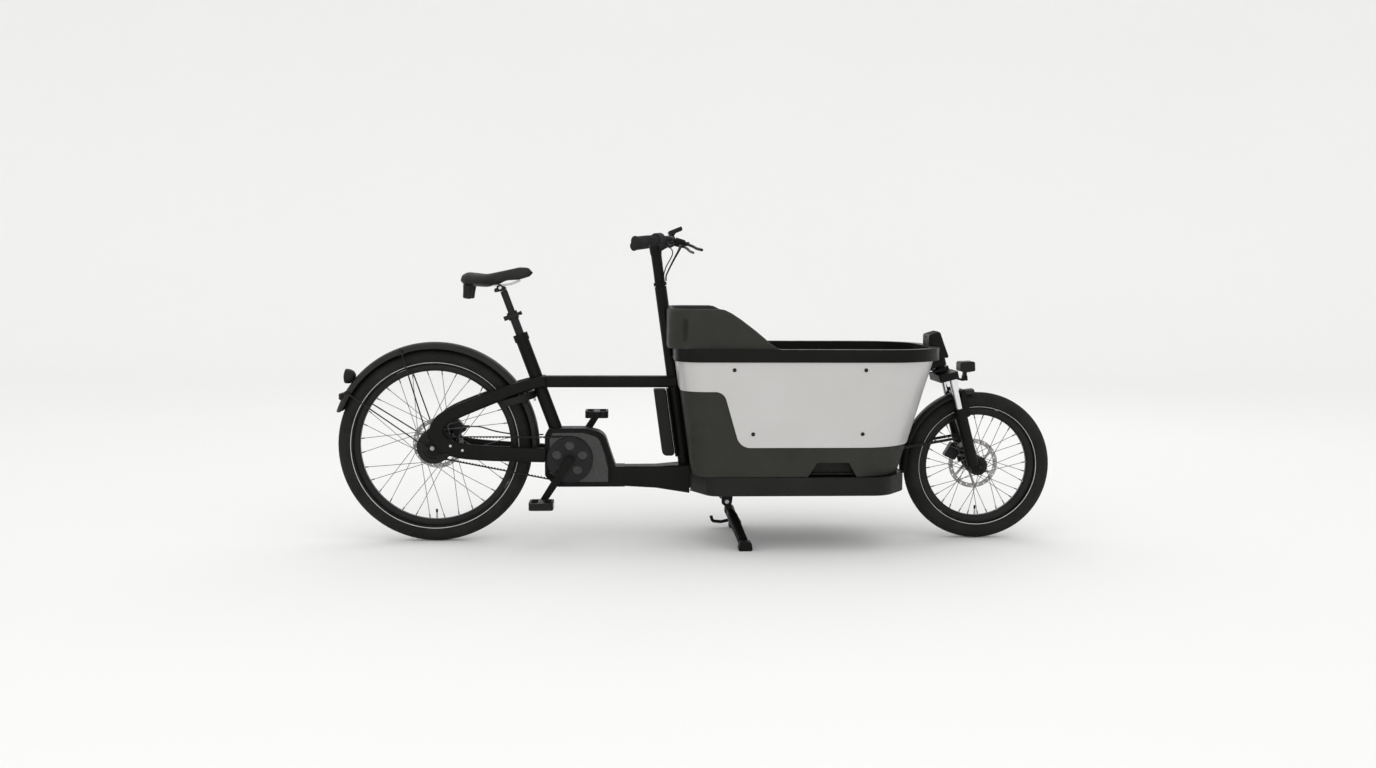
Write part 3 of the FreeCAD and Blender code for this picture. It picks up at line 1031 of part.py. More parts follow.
os.makedirs("parts", exist_ok=True)
for old in os.listdir("parts"):
    if old.endswith(".step"):
        os.remove(os.path.join("parts", old))
reach = Part.Compound([s for solids in parts.values() for s in solids]).optimalBoundingBox(False, False)
print(f"length {reach.XLength:.1f}, width {reach.YLength:.1f}, height {reach.ZLength:.1f}, moved {-reach.Center.x:.2f}")
for name, solids in parts.items():
    shape = Part.Compound(solids) if len(solids) > 1 else solids[0]
    shape.translate(V(-reach.Center.x, 0, 0))
    bad = [s for s in solids if not s.isValid() or s.Volume <= 0]
    print(f"{name}: {len(solids)} solid(s), {shape.Volume / 1000:.1f} cm3{' INVALID' if bad else ''}")
    shape.exportStep(os.path.join("parts", name + ".step"))
print("nodes:", len(parts))
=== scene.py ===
import json
from math import cos, pi, radians, sin, tan

import bmesh
import bpy
import numpy as np
from mathutils import Matrix, Vector


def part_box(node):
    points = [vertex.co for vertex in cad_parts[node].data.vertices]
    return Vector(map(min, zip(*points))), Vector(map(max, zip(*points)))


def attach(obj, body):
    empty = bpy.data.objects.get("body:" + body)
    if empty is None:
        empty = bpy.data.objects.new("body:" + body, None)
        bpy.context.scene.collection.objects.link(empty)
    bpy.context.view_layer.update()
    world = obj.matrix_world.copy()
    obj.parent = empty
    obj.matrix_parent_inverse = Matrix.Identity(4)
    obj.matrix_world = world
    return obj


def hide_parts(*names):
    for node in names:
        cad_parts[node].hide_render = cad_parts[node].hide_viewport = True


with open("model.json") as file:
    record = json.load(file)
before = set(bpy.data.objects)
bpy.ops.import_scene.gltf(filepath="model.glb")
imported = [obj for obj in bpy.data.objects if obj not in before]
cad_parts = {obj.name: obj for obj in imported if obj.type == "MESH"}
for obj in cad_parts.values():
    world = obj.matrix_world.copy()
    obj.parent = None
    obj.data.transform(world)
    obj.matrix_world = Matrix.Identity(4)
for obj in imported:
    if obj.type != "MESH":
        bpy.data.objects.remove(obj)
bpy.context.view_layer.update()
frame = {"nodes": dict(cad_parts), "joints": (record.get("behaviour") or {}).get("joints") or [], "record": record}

# A front-loading cargo bicycle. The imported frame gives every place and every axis. This file gives the
# finishes, softened copies of the hard parts and the pieces that only a mesh can show.
cadNodes = frame["nodes"]
joints = {j["name"]: j for j in frame["joints"]}
bodyOf = {node: body for body, group in frame["record"]["behaviour"]["bodies"].items() for node in group}
rearAxle = Vector(joints["rear_wheel_spin"]["pos_m"])
frontAxle = Vector(joints["front_wheel_spin"]["pos_m"])
mm = 0.001


def spot(x, y, z):
    # millimetres ahead of the rear axle, to the rider's left and above the ground, as a point in metres
    return Vector((rearAxle.x + x * mm, y * mm, z * mm))


def onAxis(joint, z):
    # the point of a joint's axis at height z, in millimetres
    at, along = Vector(joints[joint]["pos_m"]), Vector(joints[joint]["axis"])
    return at + along * ((z * mm - at.z) / along.z)


# finishes
# each one: two close colours, a roughness range, grain size per metre and its depth in millimetres
finishes = {
    "powderBlack": dict(base=(0.0046, 0.0046, 0.0042), second=(0.0070, 0.0070, 0.0064), rough=(0.36, 0.48),
                        grain=760, depth=0.05, patch=6, gloss=0.10),
    "satinBlack": dict(base=(0.0075, 0.0075, 0.0070), second=(0.0120, 0.0120, 0.0112), rough=(0.34, 0.48),
                       grain=1500, depth=0.03, patch=9, gloss=0.16),
    "fenderBlack": dict(base=(0.0110, 0.0113, 0.0098), second=(0.0160, 0.0165, 0.0143), rough=(0.36, 0.46),
                        grain=1100, depth=0.03, patch=5, gloss=0.22),
    "tubCharcoal": dict(base=(0.0205, 0.0204, 0.0170), second=(0.0275, 0.0272, 0.0230), rough=(0.52, 0.66),
                        grain=1250, depth=0.10, patch=3.5, kind="pebble", gloss=0.22),
    "rimBand": dict(base=(0.0046, 0.0046, 0.0041), second=(0.0072, 0.0072, 0.0065), rough=(0.30, 0.44),
                    grain=1300, depth=0.05, patch=4, kind="pebble", gloss=0.10),
    "panelSilver": dict(base=(0.520, 0.512, 0.500), second=(0.560, 0.556, 0.548), rough=(0.36, 0.42),
                        grain=4200, depth=0.008, patch=2.2, metal=0.35, coat=0.25, coatRough=0.2, gloss=0.45),
    "tyreRubber": dict(base=(0.0085, 0.0083, 0.0072), second=(0.0150, 0.0148, 0.0130), rough=(0.62, 0.80),
                       grain=900, depth=0.06, patch=14, gloss=0.16),
    "rimBlack": dict(base=(0.0100, 0.0100, 0.0098), second=(0.0140, 0.0140, 0.0136), rough=(0.30, 0.42),
                     grain=1800, depth=0.02, patch=8, metal=0.3, gloss=0.2),
    "hubBlack": dict(base=(0.0120, 0.0120, 0.0120), second=(0.0180, 0.0180, 0.0180), rough=(0.28, 0.40),
                     grain=2200, depth=0.02, patch=18, metal=0.4, gloss=0.2),
    "spokeSteel": dict(base=(0.10, 0.10, 0.10), second=(0.18, 0.18, 0.18), rough=(0.28, 0.42),
                       grain=900, depth=0.01, patch=30, metal=1.0),
    "rotorSteel": dict(base=(0.26, 0.255, 0.25), second=(0.40, 0.39, 0.38), rough=(0.26, 0.40),
                       grain=1400, depth=0.02, patch=22, metal=1.0),
    "alloyGrey": dict(base=(0.30, 0.30, 0.31), second=(0.42, 0.42, 0.43), rough=(0.26, 0.38),
                      grain=1500, depth=0.02, patch=25, metal=1.0),
    "boltSteel": dict(base=(0.46, 0.46, 0.45), second=(0.60, 0.60, 0.58), rough=(0.20, 0.34),
                      grain=2200, depth=0.015, patch=40, metal=1.0),
    "boltBlack": dict(base=(0.012, 0.012, 0.012), second=(0.020, 0.020, 0.020), rough=(0.34, 0.46),
                      grain=2600, depth=0.02, patch=40, metal=0.5),
    "chrome": dict(base=(0.74, 0.74, 0.75), second=(0.80, 0.80, 0.81), rough=(0.07, 0.14),
                   grain=600, depth=0.004, patch=20, metal=1.0, gloss=0.5),
    "motorGloss": dict(base=(0.0130, 0.0130, 0.0125), second=(0.0200, 0.0200, 0.0190), rough=(0.16, 0.26),
                       grain=900, depth=0.012, patch=7, coat=0.6, coatRough=0.12, gloss=0.3),
    "motorMatt": dict(base=(0.0080, 0.0080, 0.0076), second=(0.0120, 0.0120, 0.0115), rough=(0.42, 0.55),
                      grain=1500, depth=0.05, patch=8, kind="pebble", gloss=0.16),
    "beltBlack": dict(base=(0.0100, 0.0100, 0.0100), second=(0.0160, 0.0160, 0.0160), rough=(0.55, 0.70),
                      grain=1900, depth=0.05, patch=20, gloss=0.16),
    "gripRubber": dict(base=(0.0120, 0.0120, 0.0118), second=(0.0200, 0.0200, 0.0195), rough=(0.55, 0.72),
                       grain=2400, depth=0.06, patch=24, kind="pebble", gloss=0.16),
    "saddleCover": dict(base=(0.0130, 0.0130, 0.0125), second=(0.0210, 0.0208, 0.0200), rough=(0.42, 0.56),
                        grain=850, depth=0.07, patch=12, kind="pebble", gloss=0.22),
    "hoseBlack": dict(base=(0.0110, 0.0110, 0.0110), second=(0.0160, 0.0160, 0.0160), rough=(0.32, 0.46),
                      grain=1500, depth=0.02, patch=20, gloss=0.2),
    "matRubber": dict(base=(0.0180, 0.0180, 0.0175), second=(0.0270, 0.0268, 0.0260), rough=(0.64, 0.80),
                      grain=1200, depth=0.08, patch=10, kind="pebble"),
    "cushionCloth": dict(base=(0.040, 0.041, 0.043), second=(0.058, 0.059, 0.062), rough=(0.78, 0.92),
                         grain=620, depth=0.35, patch=7, kind="weave", sheen=0.25),
    "pipingCloth": dict(base=(0.020, 0.020, 0.021), second=(0.030, 0.030, 0.031), rough=(0.74, 0.88),
                        grain=1500, depth=0.12, patch=12, kind="weave", sheen=0.2),
    "tailLens": dict(base=(0.060, 0.003, 0.003), second=(0.095, 0.006, 0.005), rough=(0.10, 0.18),
                     grain=420, depth=0.10, patch=20, coat=0.5, coatRough=0.06, kind="pebble"),
    "headLens": dict(base=(0.62, 0.64, 0.66), second=(0.72, 0.74, 0.76), rough=(0.05, 0.10),
                     grain=300, depth=0.12, patch=20, coat=0.8, coatRough=0.04, kind="pebble", gloss=0.5),
    "amberLens": dict(base=(0.55, 0.16, 0.02), second=(0.70, 0.24, 0.04), rough=(0.14, 0.24),
                      grain=700, depth=0.12, patch=20, coat=0.5, coatRough=0.08, kind="pebble"),
    "stripe": dict(base=(0.50, 0.50, 0.49), second=(0.64, 0.64, 0.62), rough=(0.34, 0.48),
                   grain=1600, depth=0.02, patch=30, metal=0.2),
    "screenGlass": dict(base=(0.0060, 0.0065, 0.0070), second=(0.0100, 0.0105, 0.0115), rough=(0.05, 0.10),
                        grain=500, depth=0.003, patch=14, coat=0.8, coatRough=0.05),
}


def link(tree, fromNode, outName, toNode, inName):
    # a wire from one node's output to another's input
    tree.links.new(fromNode.outputs[outName], toNode.inputs[inName])


def makeFinish(name, base, second, rough, grain, depth, patch, kind="grain", metal=0.0, coat=0.0,
               coatRough=0.1, sheen=0.0, gloss=0.3):
    # colour drifts between two tones over wide patches, roughness over patches a seventh as wide, and the
    # surface is lifted by fine noise, by pebbles or by crossed threads
    material = bpy.data.materials.new(name)
    material.use_nodes = True
    tree = material.node_tree
    shader = tree.nodes["Principled BSDF"]
    place = tree.nodes.new("ShaderNodeTexCoord")

    def added(kindOfNode, values, source=place, outName="Object", inName="Vector"):
        # a new node with these values on its own sockets, fed by the source
        made = tree.nodes.new("ShaderNode" + kindOfNode)
        for socket, value in values.items():
            made.inputs[socket].default_value = value
        link(tree, source, outName, made, inName)
        return made

    def stretched(scale, detail, low, high, least, most):
        # noise whose values from low to high are spread from least to most
        cloud = added("TexNoise", {"Scale": scale, "Detail": detail})
        return added("MapRange", {"From Min": low, "From Max": high, "To Min": least, "To Max": most},
                     cloud, "Fac", "Value")

    for socket, value in {"Metallic": metal, "Specular IOR Level": gloss, "Coat Weight": coat,
                          "Coat Roughness": coatRough, "Sheen Weight": sheen}.items():
        shader.inputs[socket].default_value = value
    tone = tree.nodes.new("ShaderNodeMix")
    tone.data_type = "RGBA"
    tone.inputs[6].default_value = (*base, 1)
    tone.inputs[7].default_value = (*second, 1)
    link(tree, stretched(patch, 5.0, 0.32, 0.68, 0, 1), "Result", tone, "Factor")
    link(tree, tone, 2, shader, "Base Color")
    link(tree, stretched(patch * 7, 6.0, 0.3, 0.7, *rough), "Result", shader, "Roughness")
    if kind == "weave":
        # two crossed sets of threads, each a sine across the cloth
        turned = added("Mapping", {"Rotation": (0.35, 0.2, radians(45))})
        relief = tree.nodes.new("ShaderNodeMath")
        relief.operation = "MULTIPLY"
        for k, direction in enumerate("XY"):
            wave = added("TexWave", {"Scale": grain / 6.0, "Distortion": 0.6}, turned, "Vector")
            wave.bands_direction = direction
            link(tree, wave, "Fac", relief, k)
        lift = 0
    elif kind == "pebble":
        relief, lift = added("TexVoronoi", {"Scale": grain}), "Distance"
    else:
        relief, lift = added("TexNoise", {"Scale": grain, "Detail": 3.0}), "Fac"
    bump = added("Bump", {"Strength": 0.7, "Distance": depth * mm}, relief, lift, "Height")
    link(tree, bump, "Normal", shader, "Normal")
    return material


materials = {name: makeFinish(name, **values) for name, values in finishes.items()}
print("finishes:", len(materials))


def gridFaces(rows, cols, closedRows=False, closedCols=True):
    # four-sided faces between the neighbours of a rows x cols grid
    i, j = np.meshgrid(np.arange(rows - (not closedRows)), np.arange(cols - (not closedCols)), indexing="ij")
    up, over = (i + 1) % rows, (j + 1) % cols
    return np.stack([i * cols + j, up * cols + j, up * cols + over, i * cols + over], -1).reshape(-1, 4)


def tubeOf(rings):
    # an array of closed rings joined one to the next, with a face over each end
    rows, cols = rings.shape[:2]
    ends = [list(range(cols)), list(range((rows - 1) * cols, rows * cols))]
    return rings.reshape(-1, 3), gridFaces(rows, cols).tolist() + ends


def inFrame(x, y, z):
    # arrays of the millimetres that spot takes, as one array of points in metres
    return np.stack(np.broadcast_arrays(rearAxle.x + x * mm, y * mm, z * mm), -1)


def roundWheel(axle, r, turn, y):
    # arrays of radius, angle and side, in millimetres and radians, as points round a wheel's axle
    r = r * mm
    return np.stack(np.broadcast_arrays(axle.x + r * np.cos(turn), y * mm, axle.z + r * np.sin(turn)), -1)


def joinParts(parts):
    # several (verts, faces) pairs as one pair
    verts, faces, start = [], [], 0
    for partVerts, partFaces in parts:
        verts.append(np.asarray(partVerts, float).reshape(-1, 3))
        faces += [tuple(int(k) + start for k in face) for face in partFaces]
        start += len(verts[-1])
    return np.concatenate(verts), faces


def bothSides(makePart):
    # the right and the left copy of a part, made for side -1 and side 1
    return joinParts([makePart(side) for side in (-1, 1)])


def addPiece(name, part, body, finish, stands=(), crease=38, pick=None):
    # a mesh object at the origin: poles and seams merged, faces outward, smooth except at its creases
    verts, faces = part
    mesh = bpy.data.meshes.new(name)
    mesh.from_pydata(np.asarray(verts).tolist(), [], [tuple(int(k) for k in face) for face in faces])
    bm = bmesh.new()
    bm.from_mesh(mesh)
    bmesh.ops.remove_doubles(bm, verts=bm.verts, dist=2e-6)
    bmesh.ops.dissolve_degenerate(bm, dist=1e-7, edges=bm.edges)
    bmesh.ops.recalc_face_normals(bm, faces=bm.faces)
    bm.to_mesh(mesh)
    bm.free()
    return dress(name, mesh, body, finish, stands, crease, pick)


def dress(name, mesh, body, finish, stands, crease, pick=None):
    # the mesh gets its finishes and smooth shading, and rides on its body in place of the nodes it stands for
    names = [finish] if isinstance(finish, str) else list(finish)
    for each in names:
        mesh.materials.append(materials[each])
    if pick:
        paint(mesh, pick)
    mesh.shade_smooth()
    mesh.set_sharp_from_angle(angle=radians(crease))
    piece = bpy.data.objects.new(name, mesh)
    bpy.context.scene.collection.objects.link(piece)
    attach(piece, body)
    if stands:
        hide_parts(*stands)
    return piece


def shellLabels(mesh):
    # every vertex ends with the lowest number in its connected shell
    edges = np.empty(len(mesh.edges) * 2, np.int32)
    mesh.edges.foreach_get("vertices", edges)
    a, b = edges[0::2], edges[1::2]
    labels = np.arange(len(mesh.vertices))
    while True:
        low = np.minimum(labels[a], labels[b])
        fresh = labels.copy()
        np.minimum.at(fresh, a, low)
        np.minimum.at(fresh, b, low)
        fresh = fresh[fresh]
        if (fresh == labels).all():
            return labels
        labels = fresh


def paint(mesh, pick):
    # pick(low, high) gives the finish number of each connected shell from its box, in the millimetres of spot
    places = np.empty(len(mesh.vertices) * 3)
    mesh.vertices.foreach_get("co", places)
    places = (places.reshape(-1, 3) - [rearAxle.x, 0, 0]) / mm
    labels = shellLabels(mesh)
    chosen = np.zeros(len(mesh.vertices), np.int32)
    for label in np.unique(labels):
        inside = labels == label
        chosen[inside] = pick(places[inside].min(0), places[inside].max(0))
    first = np.array([polygon.vertices[0] for polygon in mesh.polygons])
    mesh.polygons.foreach_set("material_index", chosen[first].astype(np.int32))


def copyOf(node):
    # the node's mesh with its loose triangles merged and its flat faces made whole
    mesh = cadNodes[node].data.copy()
    mesh.materials.clear()
    bm = bmesh.new()
    bm.from_mesh(mesh)
    bmesh.ops.remove_doubles(bm, verts=bm.verts, dist=1e-5)
    bmesh.ops.dissolve_degenerate(bm, dist=1e-6, edges=bm.edges)
    bmesh.ops.dissolve_limit(bm, angle_limit=radians(0.6), verts=bm.verts, edges=bm.edges)
    bm.to_mesh(mesh)
    bm.free()
    return mesh


edgeRounding = dict(segments=2, angle=34)


def rounding(piece, width):
    # every edge sharper than the angle becomes an arc of that width, in millimetres
    bevel = piece.modifiers.new("rounding", "BEVEL")
    bevel.width, bevel.segments, bevel.limit_method = width * mm, edgeRounding["segments"], "ANGLE"
    bevel.angle_limit = radians(edgeRounding["angle"])
    piece.modifiers.new("weighted", "WEIGHTED_NORMAL").keep_sharp = True


def softened(node, finish, edge, pick=None):
    # a copy of the node with its sharp edges rounded by edge millimetres
    mesh = copyOf(node)
    for attribute in ("sharp_edge", "sharp_face", "custom_normal"):
        if attribute in mesh.attributes:
            mesh.attributes.remove(mesh.attributes[attribute])
    piece = dress(node + "Looks", mesh, bodyOf[node], finish, [node], 38, pick)
    if edge:
        rounding(piece, edge)


def roundCorners(points, radius, steps=5):
    # a polygon whose corners become arcs; radius is one number or one for each corner
    corners = np.asarray(points, float)
    count = len(corners)
    radii = np.broadcast_to(radius, (count,))
    out = []
    for k in range(count):
        p, u, v = corners[k], corners[k - 1] - corners[k], corners[(k + 1) % count] - corners[k]
        lu, lv = np.linalg.norm(u), np.linalg.norm(v)
        u, v = u / lu, v / lv
        half = np.arccos(np.clip(u @ v, -1, 1)) / 2
        r = min(radii[k], 0.48 * min(lu, lv) * tan(half)) if half < pi / 2 - 1e-3 else 0
        if r <= 1e-6:
            out.append(p[None])
            continue
        centre = p + (u + v) / np.linalg.norm(u + v) * r / sin(half)
        start, end = p + u * r / tan(half) - centre, p + v * r / tan(half) - centre
        t = np.linspace(0, 1, steps)[:, None]
        swing = np.arccos(np.clip(start @ end / r ** 2, -1, 1))
        out.append(centre + (np.sin((1 - t) * swing) * start + np.sin(t * swing) * end) / sin(swing))
    return np.concatenate(out)


def turnedPart(profile, centre, axis, count=96, closed=True):
    # each (radius, height) of the profile, in millimetres, carried round an axis from a centre
    axis = np.array(Vector(axis).normalized())
    side = np.cross(axis, [0, 0, 1.0]) if abs(axis[2]) < 0.9 else np.cross(axis, [1.0, 0, 0])
    side /= np.linalg.norm(side)
    other = np.cross(axis, side)
    t = np.radians(np.linspace(0, 360, count, endpoint=False))[:, None, None]
    r, h = np.split(np.asarray(profile, float)[None] * mm, 2, -1)
    verts = np.array(centre) + axis * h + r * (np.cos(t) * side + np.sin(t) * other)
    return verts.reshape(-1, 3), gridFaces(count, len(profile), True, closed)


def smoothPath(points, count, order=4):
    # the points of a clamped uniform B-spline with those control points, as a uniform sampling
    points = np.asarray(points, float)
    order = min(order, len(points))
    middle = np.linspace(0, 1, len(points) - order + 2)
    knots = np.concatenate([np.zeros(order - 1), middle, np.ones(order - 1)])
    t = np.linspace(0, 1 - 1e-9, count)
    basis = ((knots[None, :-1] <= t[:, None]) & (t[:, None] < knots[None, 1:])).astype(float)
    for degree in range(1, order):
        wide = knots[degree:-1] - knots[:-degree - 1]
        wideNext = knots[degree + 1:] - knots[1:-degree]
        a = np.where(wide > 0, (t[:, None] - knots[:-degree - 1]) / np.where(wide > 0, wide, 1), 0)
        b = np.where(wideNext > 0, (knots[degree + 1:] - t[:, None]) / np.where(wideNext > 0, wideNext, 1), 0)
        basis = a * basis[:, :-1] + b * basis[:, 1:]
    return basis @ points


def sweptPart(path, sections, up=(0, 0, 1), closedPath=False):
    # sections[i] lies across path[i]: its first number goes sideways and its second along up, in millimetres
    path = np.asarray(path, float)
    ahead = np.roll(path, -1, 0) - np.roll(path, 1, 0)
    if not closedPath:
        ahead[0], ahead[-1] = path[1] - path[0], path[-1] - path[-2]
    ahead /= np.linalg.norm(ahead, axis=1)[:, None]
    side = np.cross(ahead, np.broadcast_to(np.asarray(up, float), ahead.shape))
    side /= np.linalg.norm(side, axis=1)[:, None]
    lift = np.cross(side, ahead)
    sections = np.broadcast_to(np.asarray(sections, float) * mm, (len(path),) + np.shape(sections)[-2:])
    verts = path[:, None] + sections[..., :1] * side[:, None] + sections[..., 1:] * lift[:, None]
    if closedPath:
        return verts.reshape(-1, 3), gridFaces(len(path), sections.shape[1], True)
    return tubeOf(verts)


def boltPart(base, out, head, height, socket):
    # a button head: a turned dome whose middle drops by the socket's depth
    profile = [(0, height - socket), (head * 0.42, height - socket), (head * 0.46, height), (head * 0.72, height),
               (head * 0.94, height * 0.62), (head, height * 0.18), (head, -0.6), (0, -0.6)]
    return turnedPart(profile, base, out, count=18, closed=False)


def screwsPiece(name, places, body, **sizes):
    # equal screws as one piece, each on its base and pointing out
    screws = joinParts([boltPart(base, out, **sizes) for base, out in places])
    addPiece(name, screws, body, "boltSteel")


# wheels
wheelSizes = {
    "rear": dict(axle=rearAxle, radius=341.5, bead=559.0, rimInner=264.0, stripe=294.0, pitches=88,
                 columns=704, spokePhase=radians(34.2) + pi / 32, body="rear_wheel"),
    "front": dict(axle=frontAxle, radius=265.0, bead=406.0, rimInner=183.0, stripe=213.5, pitches=68,
                  columns=544, spokePhase=0.06, body="front_wheel"),
}
# wallLines are the raised rings on a sidewall: degrees past the tread's edge, width and height
tyreShape = dict(half=31.0, wall=4.5, treadEdge=64.0, grooveDepth=1.3, grooves=(5.5, 17.0), beadRise=6.4,
                 margin=0.12, wallLines=((6, 1.2, 0.105), (34, 1.0, 0.075)))
spokeCount = 32


def tyrePart(axle, radius, bead, pitches, columns, **rest):
    # a ring section rolled round the axle; zigzag grooves and slanted sipes are sunk into the tread
    half, edge = tyreShape["half"], tyreShape["treadEdge"]
    middle = radius - half
    last = np.degrees(np.arccos((bead / 2 + tyreShape["beadRise"] - middle) / half))
    phi = np.radians(np.concatenate([np.linspace(-last, -edge, 13)[:-1], np.linspace(-edge, edge, 53),
                                     np.linspace(edge, last, 13)[1:]]))
    turn = np.linspace(0, 2 * pi, columns, endpoint=False)[:, None]
    across = np.abs(half * phi)[None]
    sunk = np.zeros((columns, len(phi)))
    for groove in tyreShape["grooves"]:
        swing = np.sign(np.sin(turn * pitches))
        sunk = np.maximum(sunk, np.exp(-((across - groove - swing) / 1.1) ** 2))
    phase = (turn * pitches / (2 * pi) + across / 46) % 1
    blocks = (across > tyreShape["grooves"][0] + 3) & (across < half * radians(edge) - 2)
    sunk = np.maximum(sunk, np.where((phase < 0.13) & blocks, 0.9, 0))
    reach = half - tyreShape["margin"] - tyreShape["grooveDepth"] * sunk
    for past, width, height in tyreShape["wallLines"]:
        reach += height * np.exp(-((across - half * radians(edge + past)) / width) ** 2)
    inner = np.linspace(radians(last), -radians(last), 18)
    reach = np.concatenate([reach, np.full((columns, 18), half - tyreShape["wall"])], 1)
    phi = np.concatenate([phi, inner])[None]
    verts = roundWheel(axle, middle + reach * np.cos(phi), turn, reach * np.sin(phi))
    return verts.reshape(-1, 3), gridFaces(columns, phi.shape[1], True)


def stripePart(axle, radius, stripe, **rest):
    # a thin reflective band on each sidewall, following its curve
    half = tyreShape["half"]
    at = np.arccos((stripe - radius + half) / half)
    t = np.concatenate([np.linspace(at - 0.036, at + 0.036, 5), np.linspace(at + 0.036, at - 0.036, 5)])
    reach = np.repeat([half + 0.22, half - 0.5], 5)
    profile = np.stack([radius - half + reach * np.cos(t), reach * np.sin(t)], 1)
    return bothSides(lambda side: turnedPart(profile * [1, side], axle, (0, 1, 0), 180))


def rimPart(axle, bead, rimInner, **rest):
    # a section with rounded corners, from the spoke bed to the two bead hooks, turned round the axle
    seat = bead / 2
    profile = [(rimInner, -7.5), (rimInner, 7.5), (seat - 13, 13.6), (seat - 5, 14.5), (seat + 6, 14.5),
               (seat + 6, 12.2), (seat, 12), (seat - 3, 0), (seat, -12), (seat + 6, -12.2), (seat + 6, -14.5),
               (seat - 5, -14.5), (seat - 13, -13.6)]
    radii = [3, 3, 6, 6, 1.1, 1.1, 1, 2, 1, 1.1, 1.1, 6, 6]
    return turnedPart(roundCorners(profile, radii, 4), axle, (0, 1, 0), 192)


def eyeletsPart(axle, rimInner, spokePhase, **rest):
    # a small collar round every nipple where it leaves the rim
    parts = []
    for k in range(spokeCount):
        lead = 1 if (k // 2) % 2 else -1
        at = spokePhase + 2 * pi * k / spokeCount
        inward = Vector((-cos(at), 0, -sin(at)))
        base = Vector(axle) - inward * (rimInner + 0.6) * mm
        base.y += (1 if k % 2 else -1) * (2.5 + lead) * mm
        parts.append(turnedPart([(2.2, 0), (4.0, 0), (3.6, 2.0), (2.2, 2.4)], base, inward, 12))
    return joinParts(parts)


def valvePart(axle, rimInner, **rest):
    # a turned stem that stands up from the rim's lowest point, and its turned cap
    base = Vector(axle) - Vector((0, 0, (rimInner + 1) * mm))
    stem = [(0, -2), (5.2, -2), (5.2, 1.4), (3.3, 2.0), (3.3, 20), (2.9, 21), (2.9, 24), (0, 24)]
    cap = [(0, 23), (3.7, 23), (3.9, 24), (3.9, 33), (3.2, 35), (1.2, 35.8), (0, 36)]
    return [turnedPart(p, base, (0, 0, 1), 16, closed=False) for p in (stem, cap)]


for end, size in wheelSizes.items():
    body = size["body"]
    addPiece(end + "Tyre", tyrePart(**size), body, "tyreRubber", [end + "_tyre"], crease=48)
    addPiece(end + "TyreStripes", stripePart(**size), body, "stripe")
    addPiece(end + "Rim", rimPart(**size), body, "rimBlack", [end + "_rim"], crease=30)
    addPiece(end + "RimEyelets", eyeletsPart(**size), body, "alloyGrey")
    stem, cap = valvePart(**size)
    addPiece(end + "ValveStem", stem, body, "alloyGrey")
    addPiece(end + "ValveCap", cap, body, "satinBlack")
print("wheels done")


def prismPart(outline, way, low, high):
    # an outline of places carried from low to high along the way, in millimetres
    base = np.array([spot(*place) for place in outline])
    return tubeOf(np.stack([base + np.array(way) * reach * mm for reach in sorted((low, high))]))


def platePart(outline, low, high):
    # an outline of (x, z) places carried from side low to side high
    return prismPart([(x, 0, z) for x, z in outline], (0, 1, 0), low, high)


def roundedBar(width, height, radius, steps=6):
    # the section of a bar centred on its path, each corner an arc
    w, h = width / 2, height / 2
    return roundCorners([(-w, -h), (w, -h), (w, h), (-w, h)], radius, steps)


def rodPart(start, end, radius, count=12):
    # a round rod from start to end
    start, end = Vector(start), Vector(end)
    length = (end - start).length / mm
    profile = [(0, 0), (radius, 0), (radius, length), (0, length)]
    return turnedPart(profile, start, end - start, count, closed=False)


def polar(axle, radius, angle, y=0.0):
    # the point at a radius and an angle, in degrees, round a wheel's axle
    turn = radians(angle)
    return Vector((axle.x + radius * mm * cos(turn), y * mm, axle.z + radius * mm * sin(turn)))


# rear stays: (x, z, height) along the middle line, and (x, side, width) above and below the wheel's middle
stayShape = dict(
    line=[(387, 570, 40), (345, 564, 40), (280, 544, 42), (190, 510, 46), (110, 479, 47), (58, 456, 47),
          (26, 434, 50), (12, 405, 52), (14, 376, 54), (36, 351, 54), (76, 334, 54), (129, 326, 54),
          (190, 321, 54), (256, 318, 54), (320, 315, 52), (386, 312, 51)],
    upper=[(0, 80, 26), (90, 80, 26), (200, 64, 28), (300, 54, 24), (345, 38, 28), (390, 30, 28)],
    lower=[(0, 80, 26), (90, 80, 26), (170, 73, 26), (300, 60, 32), (370, 58, 32), (400, 51, 42)],
    width=26, height=50, radius=11, samples=150)
earShape = dict(
    outline=[(-21, 322), (-8, 312), (40, 322), (74, 342), (60, 388), (24, 414), (-6, 398), (-22, 360)],
    radii=[16, 16, 12, 14, 14, 14, 14, 14], inner=69, outer=78)
stayBoltPlaces = [(63, 93, 350), (104, 92, 334)]


def stayPart(side):
    # a box section swept along a smooth line; its side and width follow x, by one table before the rearmost
    # point and by the other after it
    shape = stayShape
    run = smoothPath(shape["line"], shape["samples"], 4)
    before = np.arange(len(run)) <= run[:, 0].argmin()
    upper, lower = (np.array(shape[name]).T for name in ("upper", "lower"))
    x = run[:, 0]
    out, wide = (np.where(before, np.interp(x, upper[0], upper[k]), np.interp(x, lower[0], lower[k]))
                 for k in (1, 2))
    corners = roundedBar(shape["width"], shape["height"], shape["radius"])
    sections = corners[None] * np.stack([wide / shape["width"], run[:, 2] / shape["height"]], 1)[:, None]
    path = np.array([spot(x, side * y, z) for x, z, y in zip(x, run[:, 1], out)])
    ahead = np.gradient(run[:, :2], axis=0)
    up = np.stack([-ahead[:, 1], np.zeros(len(run)), ahead[:, 0]], 1)
    return sweptPart(path, sections, up)


def earPart(side):
    # a flat dropout plate with rounded corners, inside the stay
    outline = roundCorners(earShape["outline"], earShape["radii"])
    return platePart(outline, side * earShape["inner"], side * earShape["outer"])


